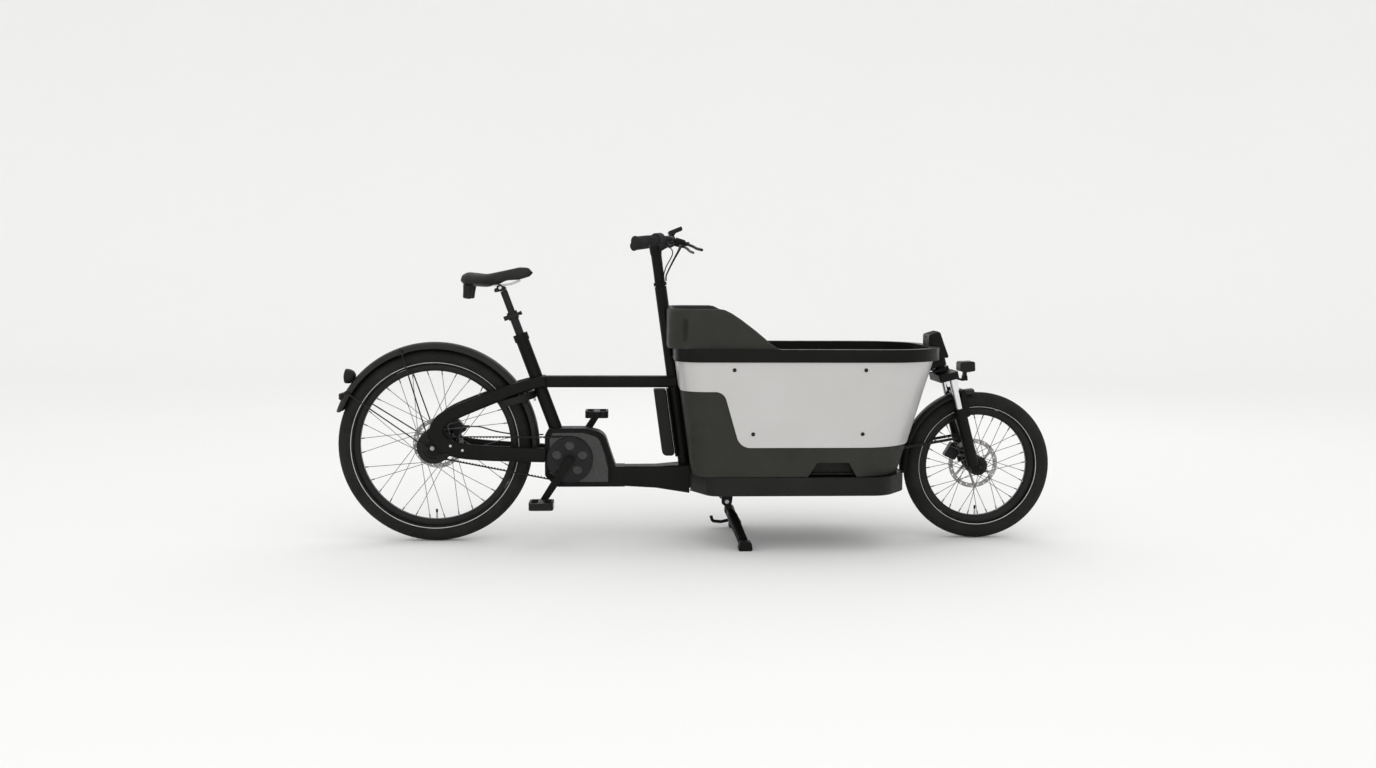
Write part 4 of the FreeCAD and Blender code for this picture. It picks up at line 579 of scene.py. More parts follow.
rounding(addPiece("rearStays", bothSides(stayPart), "frame", "powderBlack", ["rear_stays"]), 2)
rounding(addPiece("dropoutEars", bothSides(earPart), "frame", "powderBlack"), 2)
stayBolts = [(spot(x, side * y, z), (0, side, 0)) for x, y, z in stayBoltPlaces for side in (-1, 1)]
screwsPiece("stayBolts", stayBolts, "frame", head=5.2, height=2.0, socket=1.4)
print("stays done")


# belt: (x, z, radius) of each pulley
beltShape = dict(rear=(0.0, 341.5, 35.0), front=(473.0, 294.0, 80.5), outer=-56.0, inner=-44.0, back=2.2,
                 tooth=3.2, pitch=11.0)


def beltPart():
    # the outline round both pulleys: two tangents and two arcs, with square teeth on its inner side
    (x0, z0, r0), (x1, z1, r1) = beltShape["rear"], beltShape["front"]
    span = np.hypot(x1 - x0, z1 - z0)
    tilt, lean = np.arctan2(z1 - z0, x1 - x0), np.arcsin((r1 - r0) / span)
    top, low = tilt + pi / 2 + lean, tilt - pi / 2 - lean
    turns = [(x1, z1, r1, np.linspace(low, top, 60)), (x0, z0, r0, np.linspace(top, low + 2 * pi, 40))]
    corners = [np.stack([x + r * np.cos(t), z + r * np.sin(t)], 1) for x, z, r, t in turns]
    outline = np.concatenate(corners + [corners[0][:1]])
    along = np.concatenate([[0], np.cumsum(np.linalg.norm(np.diff(outline, axis=0), axis=1))])
    teeth = int(along[-1] / beltShape["pitch"])
    s = (np.arange(teeth * 4) + 0.5) * along[-1] / (teeth * 4)
    place = np.stack([np.interp(s, along, outline[:, k]) for k in (0, 1)], 1)
    ahead = np.roll(place, -1, 0) - np.roll(place, 1, 0)
    inward = np.stack([-ahead[:, 1], ahead[:, 0]], 1) / np.linalg.norm(ahead, axis=1)[:, None]
    depth = np.where(np.arange(len(s)) % 4 < 2, beltShape["tooth"], 0.6)[:, None]
    back, front = place - inward * beltShape["back"], place + inward * depth
    y0, y1 = beltShape["outer"] * mm, beltShape["inner"] * mm
    ring = np.stack([np.insert(p * mm + [rearAxle.x, 0], 1, y, 1)
                     for p, y in ((back, y0), (front, y0), (front, y1), (back, y1))], 1)
    return ring.reshape(-1, 3), gridFaces(len(s), 4, True)


addPiece("belt", beltPart(), "frame", "beltBlack", ["drive_belt"], crease=30)


# fenders
fenderShapes = {
    "rear": dict(axle=rearAxle, outer=366.0, start=-1.0, end=161.0, half=36.0, tip=7.0, depth=22.0, wall=2.0,
                 body="frame"),
    "front": dict(axle=frontAxle, outer=279.0, start=94.0, end=186.0, half=36.0, tip=5.0, depth=15.0,
                  wall=2.0, body="fork_slider"),
}
# each strut: its foot's x and z, and the angle of its eye on the fender
strutShape = dict(feet=[(-18, 340, 148.0), (-14, 368, 108.5)], side=81.5, top=357, topSide=39, radius=2.4)
strapRun = [(1667, 333), (1775, 352), (1883, 371)]


def fenderPart(axle, outer, start, end, half, tip, depth, wall, **rest):
    # a curved strip: its crown falls towards both edges by a square and a fifth power, two lines are pressed
    # into it, and its far end runs to a point
    angle = np.linspace(start, end, 150)[:, None]
    across = np.linspace(-1, 1, 45)[None]
    narrow = np.clip((end - angle) / tip, 0, 1)
    narrow = 0.30 + 0.70 * np.sqrt(1 - (1 - narrow) ** 2)
    y = across * half * narrow
    fall = depth * (0.22 * np.abs(across) ** 2 + 0.78 * np.abs(across) ** 5)
    pressed = sum(deep * np.exp(-((np.abs(across) - at) / width) ** 2)
                  for deep, at, width in ((1.1, 0.56, 0.045), (0.7, 0.98, 0.02)))
    sheets = []
    for inset in (0.0, wall):
        side = y * (1 - (inset / half) * (np.abs(across) > 0.99))
        sheets.append(roundWheel(axle, outer - inset - fall * narrow - pressed, np.radians(angle), side))
    return tubeOf(np.concatenate([sheets[0], sheets[1][:, ::-1]], 1))


def eyePart(place, radius):
    # a turned boss across the bicycle with broken edges
    profile = [(0, -3), (radius - 0.5, -3), (radius, -2), (radius, 2), (radius - 0.5, 3), (0, 3)]
    return turnedPart(profile, place, (0, 1, 0), 20, closed=False)


for end, shape in fenderShapes.items():
    addPiece(end + "Fender", fenderPart(**shape), shape["body"], "fenderBlack",
             [end + "_fender"])
struts, eyes = [], []
for side in (-1, 1):
    for x, z, angle in strutShape["feet"]:
        foot = spot(x, side * strutShape["side"], z)
        top = polar(rearAxle, strutShape["top"], angle, side * strutShape["topSide"])
        struts.append(rodPart(foot, top, strutShape["radius"]))
        eyes += [eyePart(top, 7), eyePart(foot, 6)]
    strap = sweptPart(np.array([spot(x, side * 38, z) for x, z in strapRun]), roundedBar(3, 10, 1))
    rounding(addPiece(("right", "left")[side > 0] + "FenderStrap", strap, "fork_slider", "satinBlack"), 0.5)
addPiece("fenderStruts", joinParts(struts), "frame", "boltBlack")
addPiece("fenderEyes", joinParts(eyes), "frame", "satinBlack")
print("fenders done")


# backrest shell: fall is how far the wall has come down (share of height) along the slope (share of length)
shellShape = dict(rear=815.0, half=285.0, corner=85.0, wall=26.0, low=699.4, top=833.0, flatTo=985.0,
                  foot=1189.0, lip=9.0, fall=[(0, 0), (0.08, 0.02), (0.2, 0.11), (0.35, 0.26), (0.6, 0.55),
                                              (0.85, 0.87), (0.95, 0.975), (1, 1)])
# outline of the dark plate of painted shade that stands for the strap slot's opening
slotOutline = [(862, 726), (870, 726), (876, 792), (872, 800), (862, 800)]


def shellPart():
    # a wall round three sides of the bench: level behind, then falling to the rim in a curve on each side
    rear, half, corner, foot = (shellShape[k] for k in ("rear", "half", "corner", "foot"))
    t = np.linspace(0, pi / 2, 14)[1:-1]
    side = np.stack([np.linspace(foot, rear + corner, 60), np.full(60, -half)], 1)
    turn = np.stack([rear + corner - corner * np.sin(t), -half + corner - corner * np.cos(t)], 1)
    back = np.stack([np.full(31, rear), np.linspace(-half + corner, half - corner, 31)], 1)
    plan = np.concatenate([side, turn, back, (turn * [1, -1])[::-1], (side * [1, -1])[::-1]])
    ahead = np.gradient(plan, axis=0)
    inward = np.stack([ahead[:, 1], -ahead[:, 0]], 1)
    inward /= np.linalg.norm(inward, axis=1)[:, None]
    inward *= np.sign((plan[:, 0].mean() - plan[:, 0]) * inward[:, 0] - plan[:, 1] * inward[:, 1])[:, None]
    share = np.clip((plan[:, 0] - shellShape["flatTo"]) / (foot - shellShape["flatTo"]), 0, 1)
    fall = np.interp(share, *np.array(shellShape["fall"]).T)
    height = np.maximum((shellShape["top"] - shellShape["low"]) * (1 - fall), 1.5)
    lip = np.minimum(shellShape["lip"], height * 0.45)[:, None]
    a = np.linspace(0, pi / 2, 7)[None]
    wall = shellShape["wall"]
    step = np.linspace(0, 1, 12)[None] * (height[:, None] - lip)
    outer = np.stack([0 * step, step], -1)
    rim = np.stack([lip * (1 - np.cos(a)), height[:, None] - lip + lip * np.sin(a)], -1)[:, 1:]
    inner = rim[:, ::-1] * [-1, 1] + [wall, 0]
    down = outer[:, ::-1][:, 1:] * [-1, 1] + [wall, 0]
    section = np.concatenate([outer, rim, inner, down], 1)
    flat = plan[:, None] + inward[:, None] * section[..., :1]
    return tubeOf(inFrame(flat[..., 0], flat[..., 1], shellShape["low"] + section[..., 1]))


def slotShadePart(side):
    # a dark plate just proud of the shell: painted shade where the strap's slot opens, with no opening cut
    return platePart(roundCorners(slotOutline, 2.5), side * 284.6, side * 285.6)


addPiece("backrestShell", shellPart(), "frame", "tubCharcoal", ["backrest_shell"], crease=50)
# one dark plate of painted shade for the strap slot on each side of the shell
addPiece("strapSlotShade", bothSides(slotShadePart), "frame", "satinBlack")
print("shell done")


# motor hoops: the cover's outline, and the band's section as (in from the edge, out to the side)
hoopShape = dict(outline=[(410, 398), (522, 398), (582, 380), (606, 314), (618, 262), (618, 204), (432, 204),
                          (394, 244), (394, 374)],
                 radii=[14, 54, 44, 20, 20, 14, 26, 10, 14],
                 section=[(-1.5, 34), (-1.5, 42), (0.5, 43.6), (7, 43.6), (9, 42), (9, 34)])


def hoopPart(side):
    # a band round the cover's edge, standing just proud of it
    ring = roundCorners(hoopShape["outline"], hoopShape["radii"], 9)
    ahead = np.roll(ring, -1, 0) - np.roll(ring, 1, 0)
    inward = np.stack([ahead[:, 1], -ahead[:, 0]], 1) / np.linalg.norm(ahead, axis=1)[:, None]
    inward *= np.sign(((ring.mean(0) - ring) * inward).sum())
    section = np.array(hoopShape["section"])
    flat = ring[:, None] + inward[:, None] * section[None, :, :1]
    verts = inFrame(flat[..., 0], section[None, :, 1] * side, flat[..., 1])
    return verts.reshape(-1, 3), gridFaces(len(ring), len(section), True)


addPiece("motorHoops", bothSides(hoopPart), "frame", "powderBlack", crease=30)
print("motor done")


# saddle: (x, height) of its top and its skirt, and (x, half width)
saddleShape = dict(
    top=[(99, 926), (103, 944), (122, 953), (187, 946), (250, 960), (300, 972), (330, 969), (344, 952)],
    low=[(99, 918), (110, 905), (187, 900), (222, 908), (252, 924), (296, 926), (334, 938), (344, 950)],
    half=[(99, 52), (104, 70), (118, 83), (150, 87), (182, 66), (215, 40), (260, 27), (300, 23), (330, 19),
          (344, 9)],
    tail=99, nose=344, channel=3.5, channelHalf=9, droop=6)


def saddlePart():
    # stations from tail to nose: each is a crowned ellipse whose skirt turns under, with a shallow channel
    tail, nose = saddleShape["tail"], saddleShape["nose"]
    along = (1 - np.cos(np.linspace(0.12, pi - 0.1, 70))) / 2
    x = np.concatenate([[tail], tail + (nose - tail) * along, [nose]])
    top, low, half = (np.interp(x, *np.array(saddleShape[k]).T) for k in ("top", "low", "half"))
    kernel = np.ones(5) / 5
    top, low, half = (np.convolve(np.pad(v, 2, "edge"), kernel, "valid")[:, None] for v in (top, low, half))
    x = x[:, None]
    t = np.linspace(0, 2 * pi, 64, endpoint=False)[None]
    across = np.sign(np.cos(t)) * np.abs(np.cos(t)) ** 0.62
    rise = np.sign(np.sin(t)) * np.abs(np.sin(t)) ** 0.8
    middle = (top + low) / 2 + 3
    y = half * across * np.where(rise < 0, 1 + 0.10 * rise, 1)
    z = middle + np.where(rise > 0, rise * (top - middle), rise * (middle - low))
    fade = np.clip((x - 110) / 30, 0, 1) * np.clip((330 - x) / 40, 0, 1)
    z = z - saddleShape["channel"] * np.exp(-(y / saddleShape["channelHalf"]) ** 2) * (rise > 0) * fade
    z = z - saddleShape["droop"] * np.abs(y / 88) ** 2.5 * (rise > 0)
    return tubeOf(inFrame(x, y, z))


saddle = addPiece("saddleCover", saddlePart(), "seat", "saddleCover", ["saddle"], crease=60)
print("saddle done")


# padded goods: low and high corners in millimetres, plan corner radius, edge radius, lean of the top over the
# height, sewn channels, and the most that the simulation may move a point
pads = {
    "seatCushion": dict(low=(908, -258, 471.5), high=(1173, 258, 504), face="z", corner=42, edge=13, lean=0,
                        channels=(0.34, 0.67), cap=9, fill=0.7),
    "backCushion": dict(low=(891, -221, 517), high=(925, 221, 650), face="x", corner=26, edge=13,
                        lean=-18 / 136, channels=(0.5,), cap=8, fill=0.7),
}
padSim = dict(voxel=5.0, pressure=4.0, frames=20, crown=3.0, pinch=4.2, pinchHalf=6, pipeRadius=2.4)


def slabPart(size, corner, edge):
    # a rounded slab centred on the origin: a rounded outline drawn in by a quarter circle at both faces
    a = np.linspace(0, pi / 2, 6)
    inset = np.concatenate([edge * (1 - np.sin(a)), edge * (1 - np.sin(a[::-1]))])
    rise = edge * (1 - np.cos(a)) - size[2] / 2
    level = np.concatenate([rise, -rise[::-1]])
    return tubeOf(np.array([
        np.insert(roundedBar(size[0] - 2 * i, size[1] - 2 * i, max(corner - i, 4), 8), 2, z, 1)
        for i, z in zip(inset, level)]))


def applied(piece):
    # the piece's mesh with its modifiers carried out, and no modifier left
    depsgraph = bpy.context.evaluated_depsgraph_get()
    mesh = bpy.data.meshes.new_from_object(piece.evaluated_get(depsgraph))
    piece.modifiers.clear()
    piece.data = mesh
    return mesh


def readPlaces(mesh):
    # the vertices' places as one array
    places = np.empty(len(mesh.vertices) * 3)
    mesh.vertices.foreach_get("co", places)
    return places.reshape(-1, 3)


def padPiece(name, low, high, face, corner, edge, lean, channels, cap, fill):
    # a rounded slab blown up as cloth, then crowned by a cosine each way and drawn in along its sewn channels,
    # with a round piping that follows its edge
    low, high = np.array(low, float), np.array(high, float)
    middle, size = (low + high) / 2, high - low
    thick, across = (2, 0) if face == "z" else (0, 2)
    order = [across, 1, thick]
    verts, faces = slabPart(size[order], corner, edge)
    verts = inFrame(*(verts[:, order] + middle).T)
    piece = addPiece(name, (verts, faces), "frame", "cushionCloth", crease=180)
    voxels = piece.modifiers.new("voxels", "REMESH")
    voxels.mode, voxels.voxel_size = "VOXEL", padSim["voxel"] * mm
    mesh = applied(piece)
    start = readPlaces(mesh)
    cloth = piece.modifiers.new("cloth", "CLOTH")
    cloth.settings.use_pressure = True
    cloth.settings.uniform_pressure_force = padSim["pressure"]
    cloth.settings.effector_weights.gravity = 0
    cloth.point_cache.frame_end = padSim["frames"]
    for step in range(1, padSim["frames"] + 1):
        bpy.context.scene.frame_set(step)
    mesh = applied(piece)
    bpy.context.scene.frame_set(1)
    moved = readPlaces(mesh) - start
    length = np.linalg.norm(moved, axis=1)[:, None]
    places = start + moved * np.minimum(1, cap * mm / np.maximum(length, 1e-9))
    local = (places - [rearAxle.x, 0, 0]) / mm - middle
    outward = local[:, thick] / (size[thick] / 2)
    crown = np.cos(pi / 2 * np.clip(np.abs(local[:, across]) / (size[across] / 2), 0, 1)) \
        * np.cos(pi / 2 * np.clip(np.abs(local[:, 1]) / (size[1] / 2), 0, 1))
    local[:, thick] += np.where(outward > 0, padSim["crown"] * crown, 0)
    for share in channels:
        off = local[:, across] - (share - 0.5) * size[across]
        local[:, thick] -= padSim["pinch"] * np.exp(-(off / padSim["pinchHalf"]) ** 2) * (outward > 0.5)
    local[:, thick] = np.clip(local[:, thick], -size[thick] / 2 - 0.5, None)

    def leant(points):
        # points about the middle put in place, leaning with their height
        points = points + middle
        points[:, 0] += lean * (points[:, 2] - low[2])
        return inFrame(*points.T)

    mesh.vertices.foreach_set("co", leant(local).ravel())
    mesh.shade_smooth()
    fine = piece.modifiers.new("fine", "SUBSURF")
    fine.levels = fine.render_levels = 1
    seam = np.insert(roundedBar(size[across] + 1, size[1] + 1, corner, 10), 2, 0, 1)[:, order]
    t = np.linspace(0, 2 * pi, 8, endpoint=False)
    pipe = padSim["pipeRadius"] * np.stack([np.cos(t), np.sin(t)], 1)
    up = (0, 0, 1) if face == "z" else (1, 0, 0)
    addPiece(name + "Piping", sweptPart(leant(seam), pipe, up, closedPath=True), "frame", "pipingCloth")


for name, shape in pads.items():
    padPiece(name, **shape)
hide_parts("bench_cushions")
print("cushions done")


# floor mat and tray deck
matShape = dict(rib=12.0, groove=2.0, endGap=2, sideGap=4)
deckShape = dict(outline=[(902, -146), (962, -256), (1556, -256), (1637, -148), (1637, 148), (1556, 256),
                          (962, 256), (902, 146)], radii=[30, 50, 90, 60, 60, 90, 50, 30], low=252, high=260)


def matPart():
    # a sheet whose top rises and falls in square ribs from back to front
    low, high = (np.array(corner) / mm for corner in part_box("floor_mat"))
    x = np.arange(low[0] + matShape["endGap"], high[0] - matShape["endGap"], matShape["rib"] / 4)
    top = high[2] - np.where(np.arange(len(x)) % 4 < 2, 0, matShape["groove"])
    right, left = low[1] + matShape["sideGap"], high[1] - matShape["sideGap"]
    corners = ((right, top), (left, top), (left, low[2]), (right, low[2]))
    return tubeOf(np.stack([np.stack(np.broadcast_arrays(x, y, z), -1) for y, z in corners], 1) * mm)


def deckPart():
    # a flat plate with rounded corners, from one height to another
    outline = roundCorners(deckShape["outline"], deckShape["radii"], 6)
    return prismPart([(x, y, 0) for x, y in outline], (0, 0, 1), deckShape["low"], deckShape["high"])


addPiece("floorMat", matPart(), "frame", "matRubber", ["floor_mat"], crease=30)
addPiece("trayDeck", deckPart(), "frame", "satinBlack")
print("floor done")


# grips, column and screen
gripShape = dict(inner=(796, 215, 1066), outer=(703, 334, 1054), starts={-1: 46.0, 1: 14.0}, radius=16.6,
                 swell=0.9, ring=4.2, depth=0.7, flange=18.4)


def gripPart(side):
    # a sleeve of fine rings between two smooth collars, a little fuller in its middle
    inner, outer = (spot(x, side * y, z) for x, y, z in (gripShape["inner"], gripShape["outer"]))
    along = (outer - inner).normalized()
    start = inner + along * gripShape["starts"][side] * mm
    length = (outer - start).length / mm + 4
    s = np.linspace(6, length - 7, 150)
    radius, swell, flange = (gripShape[k] for k in ("radius", "swell", "flange"))
    ribs = np.where((s / gripShape["ring"]) % 1 < 0.5, 0, -gripShape["depth"])
    body = np.stack([radius - swell + swell * np.sin(pi * s / length) + ribs, s], 1)
    ends = [(0, length), (9, length), (flange - 2, length - 0.6), (flange, length - 2.5),
            (flange - 0.6, length - 5)]
    profile = [(0, 0), (radius + 0.6, 0), (radius + 0.9, 1), (radius + 0.9, 5)]
    return turnedPart(np.concatenate([profile, body, ends[::-1]]), start, along, 40, closed=False)


addPiece("gripCovers", bothSides(gripPart), "bars", "gripRubber", ["grips"], crease=60)
columnShape = dict(low=188.0, step=907.0, top=1058.0)
stemShape = dict(head=(826, 0, 1060), neckHeight=1034, screwSides=(-18, 18),
                 neck=[(34, 30), (30, 26), (34, 24)], neckCorner=9,
                 clamp=[(11.2, -24), (18, -24), (19, -23), (19, -14), (17.6, -13), (17.6, -2), (19, -1),
                        (19, 1), (17.6, 2), (17.6, 13), (19, 14), (19, 23), (18, 24), (11.2, 24)])
screenShape = dict(outline=[(826, 1098.4), (861, 1113.6), (862.2, 1112.4), (827.2, 1097.2)], half=33)


def columnPart():
    # the turned column: hidden in the mast, a shallow collar where it leaves, then a tube wider at its top
    base, axis = onAxis("bar_steer", columnShape["low"]), Vector(joints["bar_steer"]["axis"])
    axis = axis if axis.z > 0 else -axis
    rise = (columnShape["step"] - columnShape["low"]) / axis.z
    reach = (columnShape["top"] - columnShape["low"]) / axis.z
    profile = [(0, 0), (17, 0), (17, rise), (22.6, rise + 0.4), (23, rise + 2), (23, rise + 11),
               (21, rise + 13), (18.6, rise + 14), (18.2, rise + 50), (18.8, reach - 46), (20.8, reach - 34),
               (21.2, reach - 26), (21.2, reach - 4), (19, reach - 1), (9, reach), (8, reach - 2), (0, reach - 2)]
    return turnedPart(profile, base, axis, 48, closed=False)


addPiece("steeringColumn", columnPart(), "bars", "powderBlack", ["steering_column"], crease=40)
barCentre, neckFrom = spot(*stemShape["head"]), onAxis("bar_steer", stemShape["neckHeight"])
neck = sweptPart(np.array([neckFrom, neckFrom.lerp(barCentre, 0.5), barCentre]),
                 [roundedBar(*size, stemShape["neckCorner"]) for size in stemShape["neck"]])
addPiece("stemClamp", joinParts([neck, turnedPart(stemShape["clamp"], barCentre, (0, 1, 0), 40)]), "bars",
         "hubBlack", crease=40)
stemScrews = [(barCentre + Vector((0.0185, y * mm, 0.0)), (1, 0, 0)) for y in stemShape["screwSides"]]
screwsPiece("stemScrews", stemScrews, "bars", head=3.4, height=2.0, socket=1.4)
screen = platePart(roundCorners(screenShape["outline"], 0.3), -screenShape["half"], screenShape["half"])
addPiece("displayScreen", screen, "bars", "screenGlass")
print("bars done")


# lamps and reflectors
lampShape = dict(radius=366, tilt=141.0, reflectorTilt=151.5,
                 shell=[(0, -22), (11, -22), (20, -15), (25, -4), (26, 4), (26, 12), (24.5, 14), (0, 14)],
                 lens=[(0, 19.5), (9, 18.8), (17, 16.8), (22, 14.2), (23.5, 12.5), (0, 12.5)])
# the reflector's bracket and plate, as (x, z) from its seat on the fender
reflectorShape = dict(bracket=[(-8, -13), (-8, 11), (1, 11), (3.5, 3), (-2, -13)],
                      plate=[(-12, -11), (-12, 9), (-8, 9), (-8, -11)])
headLensOutline = [(1921.5, 611), (1920.0, 637), (1923.2, 637), (1924.4, 611)]
pedalPlaces = {"right": (380.4, -148, 151.4), "left": (565.6, 148, 436.6)}


def tailLampParts():
    # a dark housing on the fender's back with a domed red lens facing rearward
    seat = polar(rearAxle, lampShape["radius"], lampShape["tilt"])
    tilt = radians(lampShape["tilt"])
    out = Vector((cos(tilt), 0, sin(tilt)))
    centre = seat + out * 0.012 + Vector((-0.006, 0, 0.006))
    back = Vector((-1, 0, 0.08)).normalized()
    housing = turnedPart(lampShape["shell"], centre, back, 40, closed=False)
    stalk = rodPart(seat + out * 0.0004, seat + out * 0.011, 8.5, 20)
    return joinParts([housing, stalk]), turnedPart(lampShape["lens"], centre, back, 40, closed=False)


def pedalStrips(px, py, pz):
    # a thin strip on the front and on the back of a pedal
    strips = []
    for near, far in ((px - 42.4, px - 41.2), (px + 41.2, px + 42.4)):
        outline = [(near, pz - 6), (near, pz + 6), (far, pz + 6), (far, pz - 6)]
        strips.append(platePart(outline, py - 20, py + 20))
    return joinParts(strips)


housing, lens = tailLampParts()
addPiece("tailLampHousing", housing, "frame", "satinBlack", ["tail_light"])
addPiece("tailLampLens", lens, "frame", "tailLens")
seat = (polar(rearAxle, lampShape["radius"], lampShape["reflectorTilt"]) - Vector((rearAxle.x, 0, 0))) / mm
bracket, plate = (np.array(reflectorShape[k]) + [seat.x, seat.z] for k in ("bracket", "plate"))
reflectorBody = platePart(roundCorners(bracket, 1.5), -23, 23)
reflector = platePart(roundCorners(plate, 1), -21, 21)
headLens = platePart(roundCorners(headLensOutline, 1.0), -26, 26)
rounding(addPiece("rearReflectorBody", reflectorBody, "frame", "satinBlack"), 1)
rounding(addPiece("rearReflector", reflector, "frame", "tailLens"), 0.8)
rounding(addPiece("headLens", headLens, "lamp", "headLens"), 0.8)
for side, place in pedalPlaces.items():
    addPiece(side + "PedalReflectors", pedalStrips(*place), side + "_pedal", "amberLens")
print("lamps done")


# saddle clamp and bumper ribs
clampShape = dict(place=(232.0, 0, 898), half=27,
                  profile=[(0, -27), (9, -27), (12, -25), (13, -18), (13, 18), (12, 25), (9, 27), (0, 27)])
ribShape = dict(count=5, first=1754, step=6.4, thick=3.0, foot=738, footAt=1748, slope=0.31, half=40)
clampHead = spot(*clampShape["place"])
addPiece("saddleClamp", turnedPart(clampShape["profile"], clampHead, (0, 1, 0), 32, closed=False), "seat",
         "boltBlack")
clampBolts = [(clampHead + Vector((0, side * clampShape["half"] * mm, 0)), (0, side, 0)) for side in (-1, 1)]
screwsPiece("saddleClampBolts", clampBolts, "seat", head=6.5, height=2.6, socket=1.8)
ribs = []
for k in range(ribShape["count"]):
    x = ribShape["first"] + k * ribShape["step"]
    past = x + ribShape["thick"]
    top = ribShape["foot"] + (x - ribShape["footAt"]) * ribShape["slope"]
    outline = [(x, top - 3), (x, top + 1.4), (past, top + 2.3), (past, top - 3)]
    ribs.append(platePart(outline, -ribShape["half"], ribShape["half"]))
addPiece("bumperRibs", joinParts(ribs), "frame", "gripRubber")
print("small parts done")


# saddle bumpers and stand legs
bumperShape = dict(place=(120, 42, 862), lean=(4, 0, 40),
                   profile=[(0, -2), (9, -2), (13, 0), (15.4, 5), (16, 20), (17.5, 38), (19, 45), (0, 45)])
legShape = dict(knee=(1043, 49, 108), ankle=(1076, 189, 31), shares=(0, 0.2, 0.7, 1),
                widths=(24, 36, 34, 33), depths=(24, 35, 33, 32))


def bumperPart(side):
    # a turned block of rubber, wider where it meets the saddle
    x, y, z = bumperShape["place"]
    return turnedPart(bumperShape["profile"], spot(x, side * y, z), bumperShape["lean"], 28, closed=False)


def legPart(side):
    # a straight forged bar from knee to foot: its section swells below the knee, then tapers along the leg
    knee, ankle = (np.array(spot(x, side * y, z)) for x, y, z in (legShape["knee"], legShape["ankle"]))
    share = np.linspace(0, 1, 24)
    wide, deep = (np.interp(share, legShape["shares"], legShape[k]) for k in ("widths", "depths"))
    sections = roundedBar(1, 1, 0.34, 5)[None] * np.stack([deep, wide], 1)[:, None]
    return sweptPart(knee + share[:, None] * (ankle - knee), sections)


addPiece("saddleBumpers", bothSides(bumperPart), "seat", "gripRubber")
addPiece("standLegs", bothSides(legPart), "stand", "powderBlack", crease=50)
print("stand done")


# hard parts that only need their edges broken: a finish and the edge's radius in millimetres
hardParts = {
    "rear_spokes": ("spokeSteel", 0), "front_spokes": ("spokeSteel", 0),
    "rear_pulley": ("rotorSteel", 0.5), "motor_bracket": ("powderBlack", 3.0),
    "seat_tube": ("powderBlack", 1.0), "steering_mast": ("powderBlack", 1.0),
    "top_tube": ("powderBlack", 0), "keel_tube": ("powderBlack", 1.5), "motor_unit": ("motorMatt", 1.5),
    "front_head_tube": ("powderBlack", 2.0), "cargo_tub": ("tubCharcoal", 1.6),
    "side_panels": ("panelSilver", 0.7), "base_pan": ("satinBlack", 1.5),
    "passenger_bench": ("tubCharcoal", 2.0), "front_bumper": ("rimBand", 3.0),
    "rear_caliper": ("hubBlack", 1.2), "frame_cables": ("hoseBlack", 0), "ring_lock": ("satinBlack", 1.2),
    "pedal_right": ("satinBlack", 2.0), "pedal_left": ("satinBlack", 2.0),
    "battery_pack": ("motorMatt", 4.0), "lock_shackle": ("boltSteel", 0),
    "post_sleeve": ("hubBlack", 0.8), "seat_post": ("hubBlack", 1.5), "seat_lever": ("hubBlack", 1.0),
    "handlebar": ("powderBlack", 1.0), "display": ("satinBlack", 1.5), "bar_hoses": ("hoseBlack", 0),
    "twist_shifter": ("gripRubber", 1.5), "brake_lever_right": ("hubBlack", 1.0),
    "brake_lever_left": ("hubBlack", 1.0), "fork_crown": ("powderBlack", 3.0),
    "stanchions": ("chrome", 0), "headlight": ("satinBlack", 1.5), "cargo_rim": ("rimBand", 2.0),
    "motor_covers": ("motorGloss", 1.2), "box_fasteners": ("boltBlack", 0.4),
}
# parts of two finishes: the second goes to the solids whose box passes the test
mixedParts = {
    "rear_hub": ("hubBlack", "rotorSteel", 0.5, lambda low, high: low[1] > 49),
    "front_hub": ("hubBlack", "rotorSteel", 0.5, lambda low, high: low[1] > 36),
    "rear_axle": ("alloyGrey", "satinBlack", 0.5, lambda low, high: high[0] - low[0] > 60),
    "crankset": ("powderBlack", "hubBlack", 1.2, lambda low, high: high[0] - low[0] > 155),
    "kickstand": ("powderBlack", "gripRubber", 2.0, lambda low, high: high[2] < 60),
    "box_subframe": ("powderBlack", "alloyGrey", 1.5, lambda low, high: high[0] - low[0] < 18),
    "fork_lowers": ("powderBlack", "hubBlack", 1.5, lambda low, high: high[2] - low[2] < 120),
    "saddle_frame": ("boltSteel", "gripRubber", 0.8, lambda low, high: high[0] - low[0] < 60),
}
for node, (finish, edge) in hardParts.items():
    softened(node, finish, edge)
for node, (first, second, edge, pick) in mixedParts.items():
    softened(node, (first, second), edge, pick)
print("hard parts done")


# floor, light and camera
stageShape = dict(floorHalf=60.0, front=-60.0, bend=7.0, bendRadius=4.0, wallTop=16.0)
floorFinish = dict(base=(0.90, 0.90, 0.897), second=(0.91, 0.91, 0.907), rough=(0.85, 0.95), grain=60,
                   depth=0.02, patch=0.3, gloss=0.1)


def backdropPart():
    # a flat floor that curves up into a wall behind
    bend, radius = stageShape["bend"], stageShape["bendRadius"]
    t = np.linspace(0, pi / 2, 25)
    y = np.concatenate([[stageShape["front"]], bend + radius * np.sin(t), [bend + radius]])
    z = np.concatenate([[0], radius * (1 - np.cos(t)), [stageShape["wallTop"]]])
    x = np.array([-1, 1]) * stageShape["floorHalf"]
    verts = np.stack(np.broadcast_arrays(x[None], y[:, None], z[:, None]), -1)
    return verts.reshape(-1, 3), gridFaces(len(y), 2, False, False)


materials["paleFloor"] = makeFinish("paleFloor", **floorFinish)
verts, faces = backdropPart()
mesh = bpy.data.meshes.new("backdrop")
mesh.from_pydata(verts.tolist(), [], faces.tolist())
mesh.materials.append(materials["paleFloor"])
mesh.shade_smooth()
backdrop = bpy.data.objects.new("backdrop", mesh)
bpy.context.scene.collection.objects.link(backdrop)

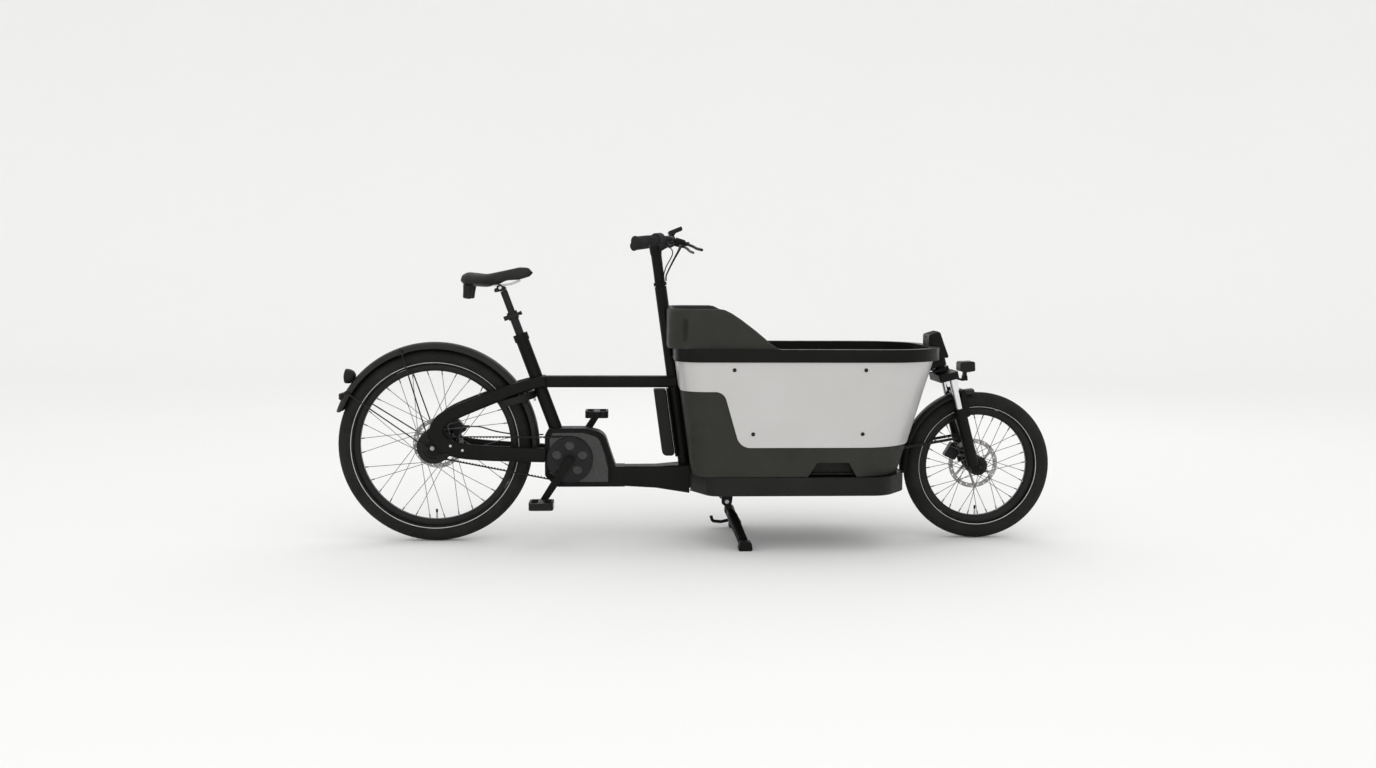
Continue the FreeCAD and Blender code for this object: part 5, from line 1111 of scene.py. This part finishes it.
world = bpy.data.worlds.new("studio")
bpy.context.scene.world = world
world.use_nodes = True
world.node_tree.nodes["Background"].inputs["Color"].default_value = (1.0, 1.0, 0.995, 1)
world.node_tree.nodes["Background"].inputs["Strength"].default_value = 1.0

lamps = {
    "over": dict(place=(0.0, -0.6, 4.6), aim=(0.0, 0.0, 0.3), size=(5.0, 3.2), power=14),
    "near": dict(place=(-0.6, -5.2, 1.5), aim=(0.1, 0.0, 0.2), size=(4.4, 2.2), power=22),
    "back": dict(place=(1.5, 4.2, 3.8), aim=(0.0, 0.0, 0.6), size=(3.0, 2.0), power=16),
}
for name, spec in lamps.items():
    lamp = bpy.data.lights.new(name + "Light", "AREA")
    lamp.shape = "RECTANGLE"
    lamp.size, lamp.size_y = spec["size"]
    lamp.energy = spec["power"]
    holder = bpy.data.objects.new(name + "Light", lamp)
    holder.location = spec["place"]
    holder.rotation_euler = (Vector(spec["aim"]) - Vector(spec["place"])).to_track_quat("-Z", "Y").to_euler()
    bpy.context.scene.collection.objects.link(holder)

cameraSpec = dict(place=(-0.26350, -4.44589, 0.94463), yaw=2.926, pitch=4.957, roll=0.273, lens=32.77,
                  sensor=36.0)


def makeCamera(place, yaw, pitch, roll, lens, sensor):
    # it looks along yaw from +Y and down by pitch, in degrees, and its sides turn by roll about that line
    yaw, pitch, roll = radians(yaw), radians(pitch), radians(roll)
    ahead = Vector((sin(yaw) * cos(pitch), cos(yaw) * cos(pitch), -sin(pitch)))
    level = Vector((cos(yaw), -sin(yaw), 0))
    upward = level.cross(ahead)
    right = level * cos(roll) + upward * sin(roll)
    top = upward * cos(roll) - level * sin(roll)
    data = bpy.data.cameras.new("camera")
    data.lens, data.sensor_width = lens, sensor
    holder = bpy.data.objects.new("camera", data)
    holder.matrix_world = Matrix((
        (right.x, top.x, -ahead.x, place[0]), (right.y, top.y, -ahead.y, place[1]),
        (right.z, top.z, -ahead.z, place[2]), (0, 0, 0, 1)))
    bpy.context.scene.collection.objects.link(holder)
    bpy.context.scene.camera = holder


makeCamera(**cameraSpec)
bpy.context.scene.view_settings.view_transform = "Standard"
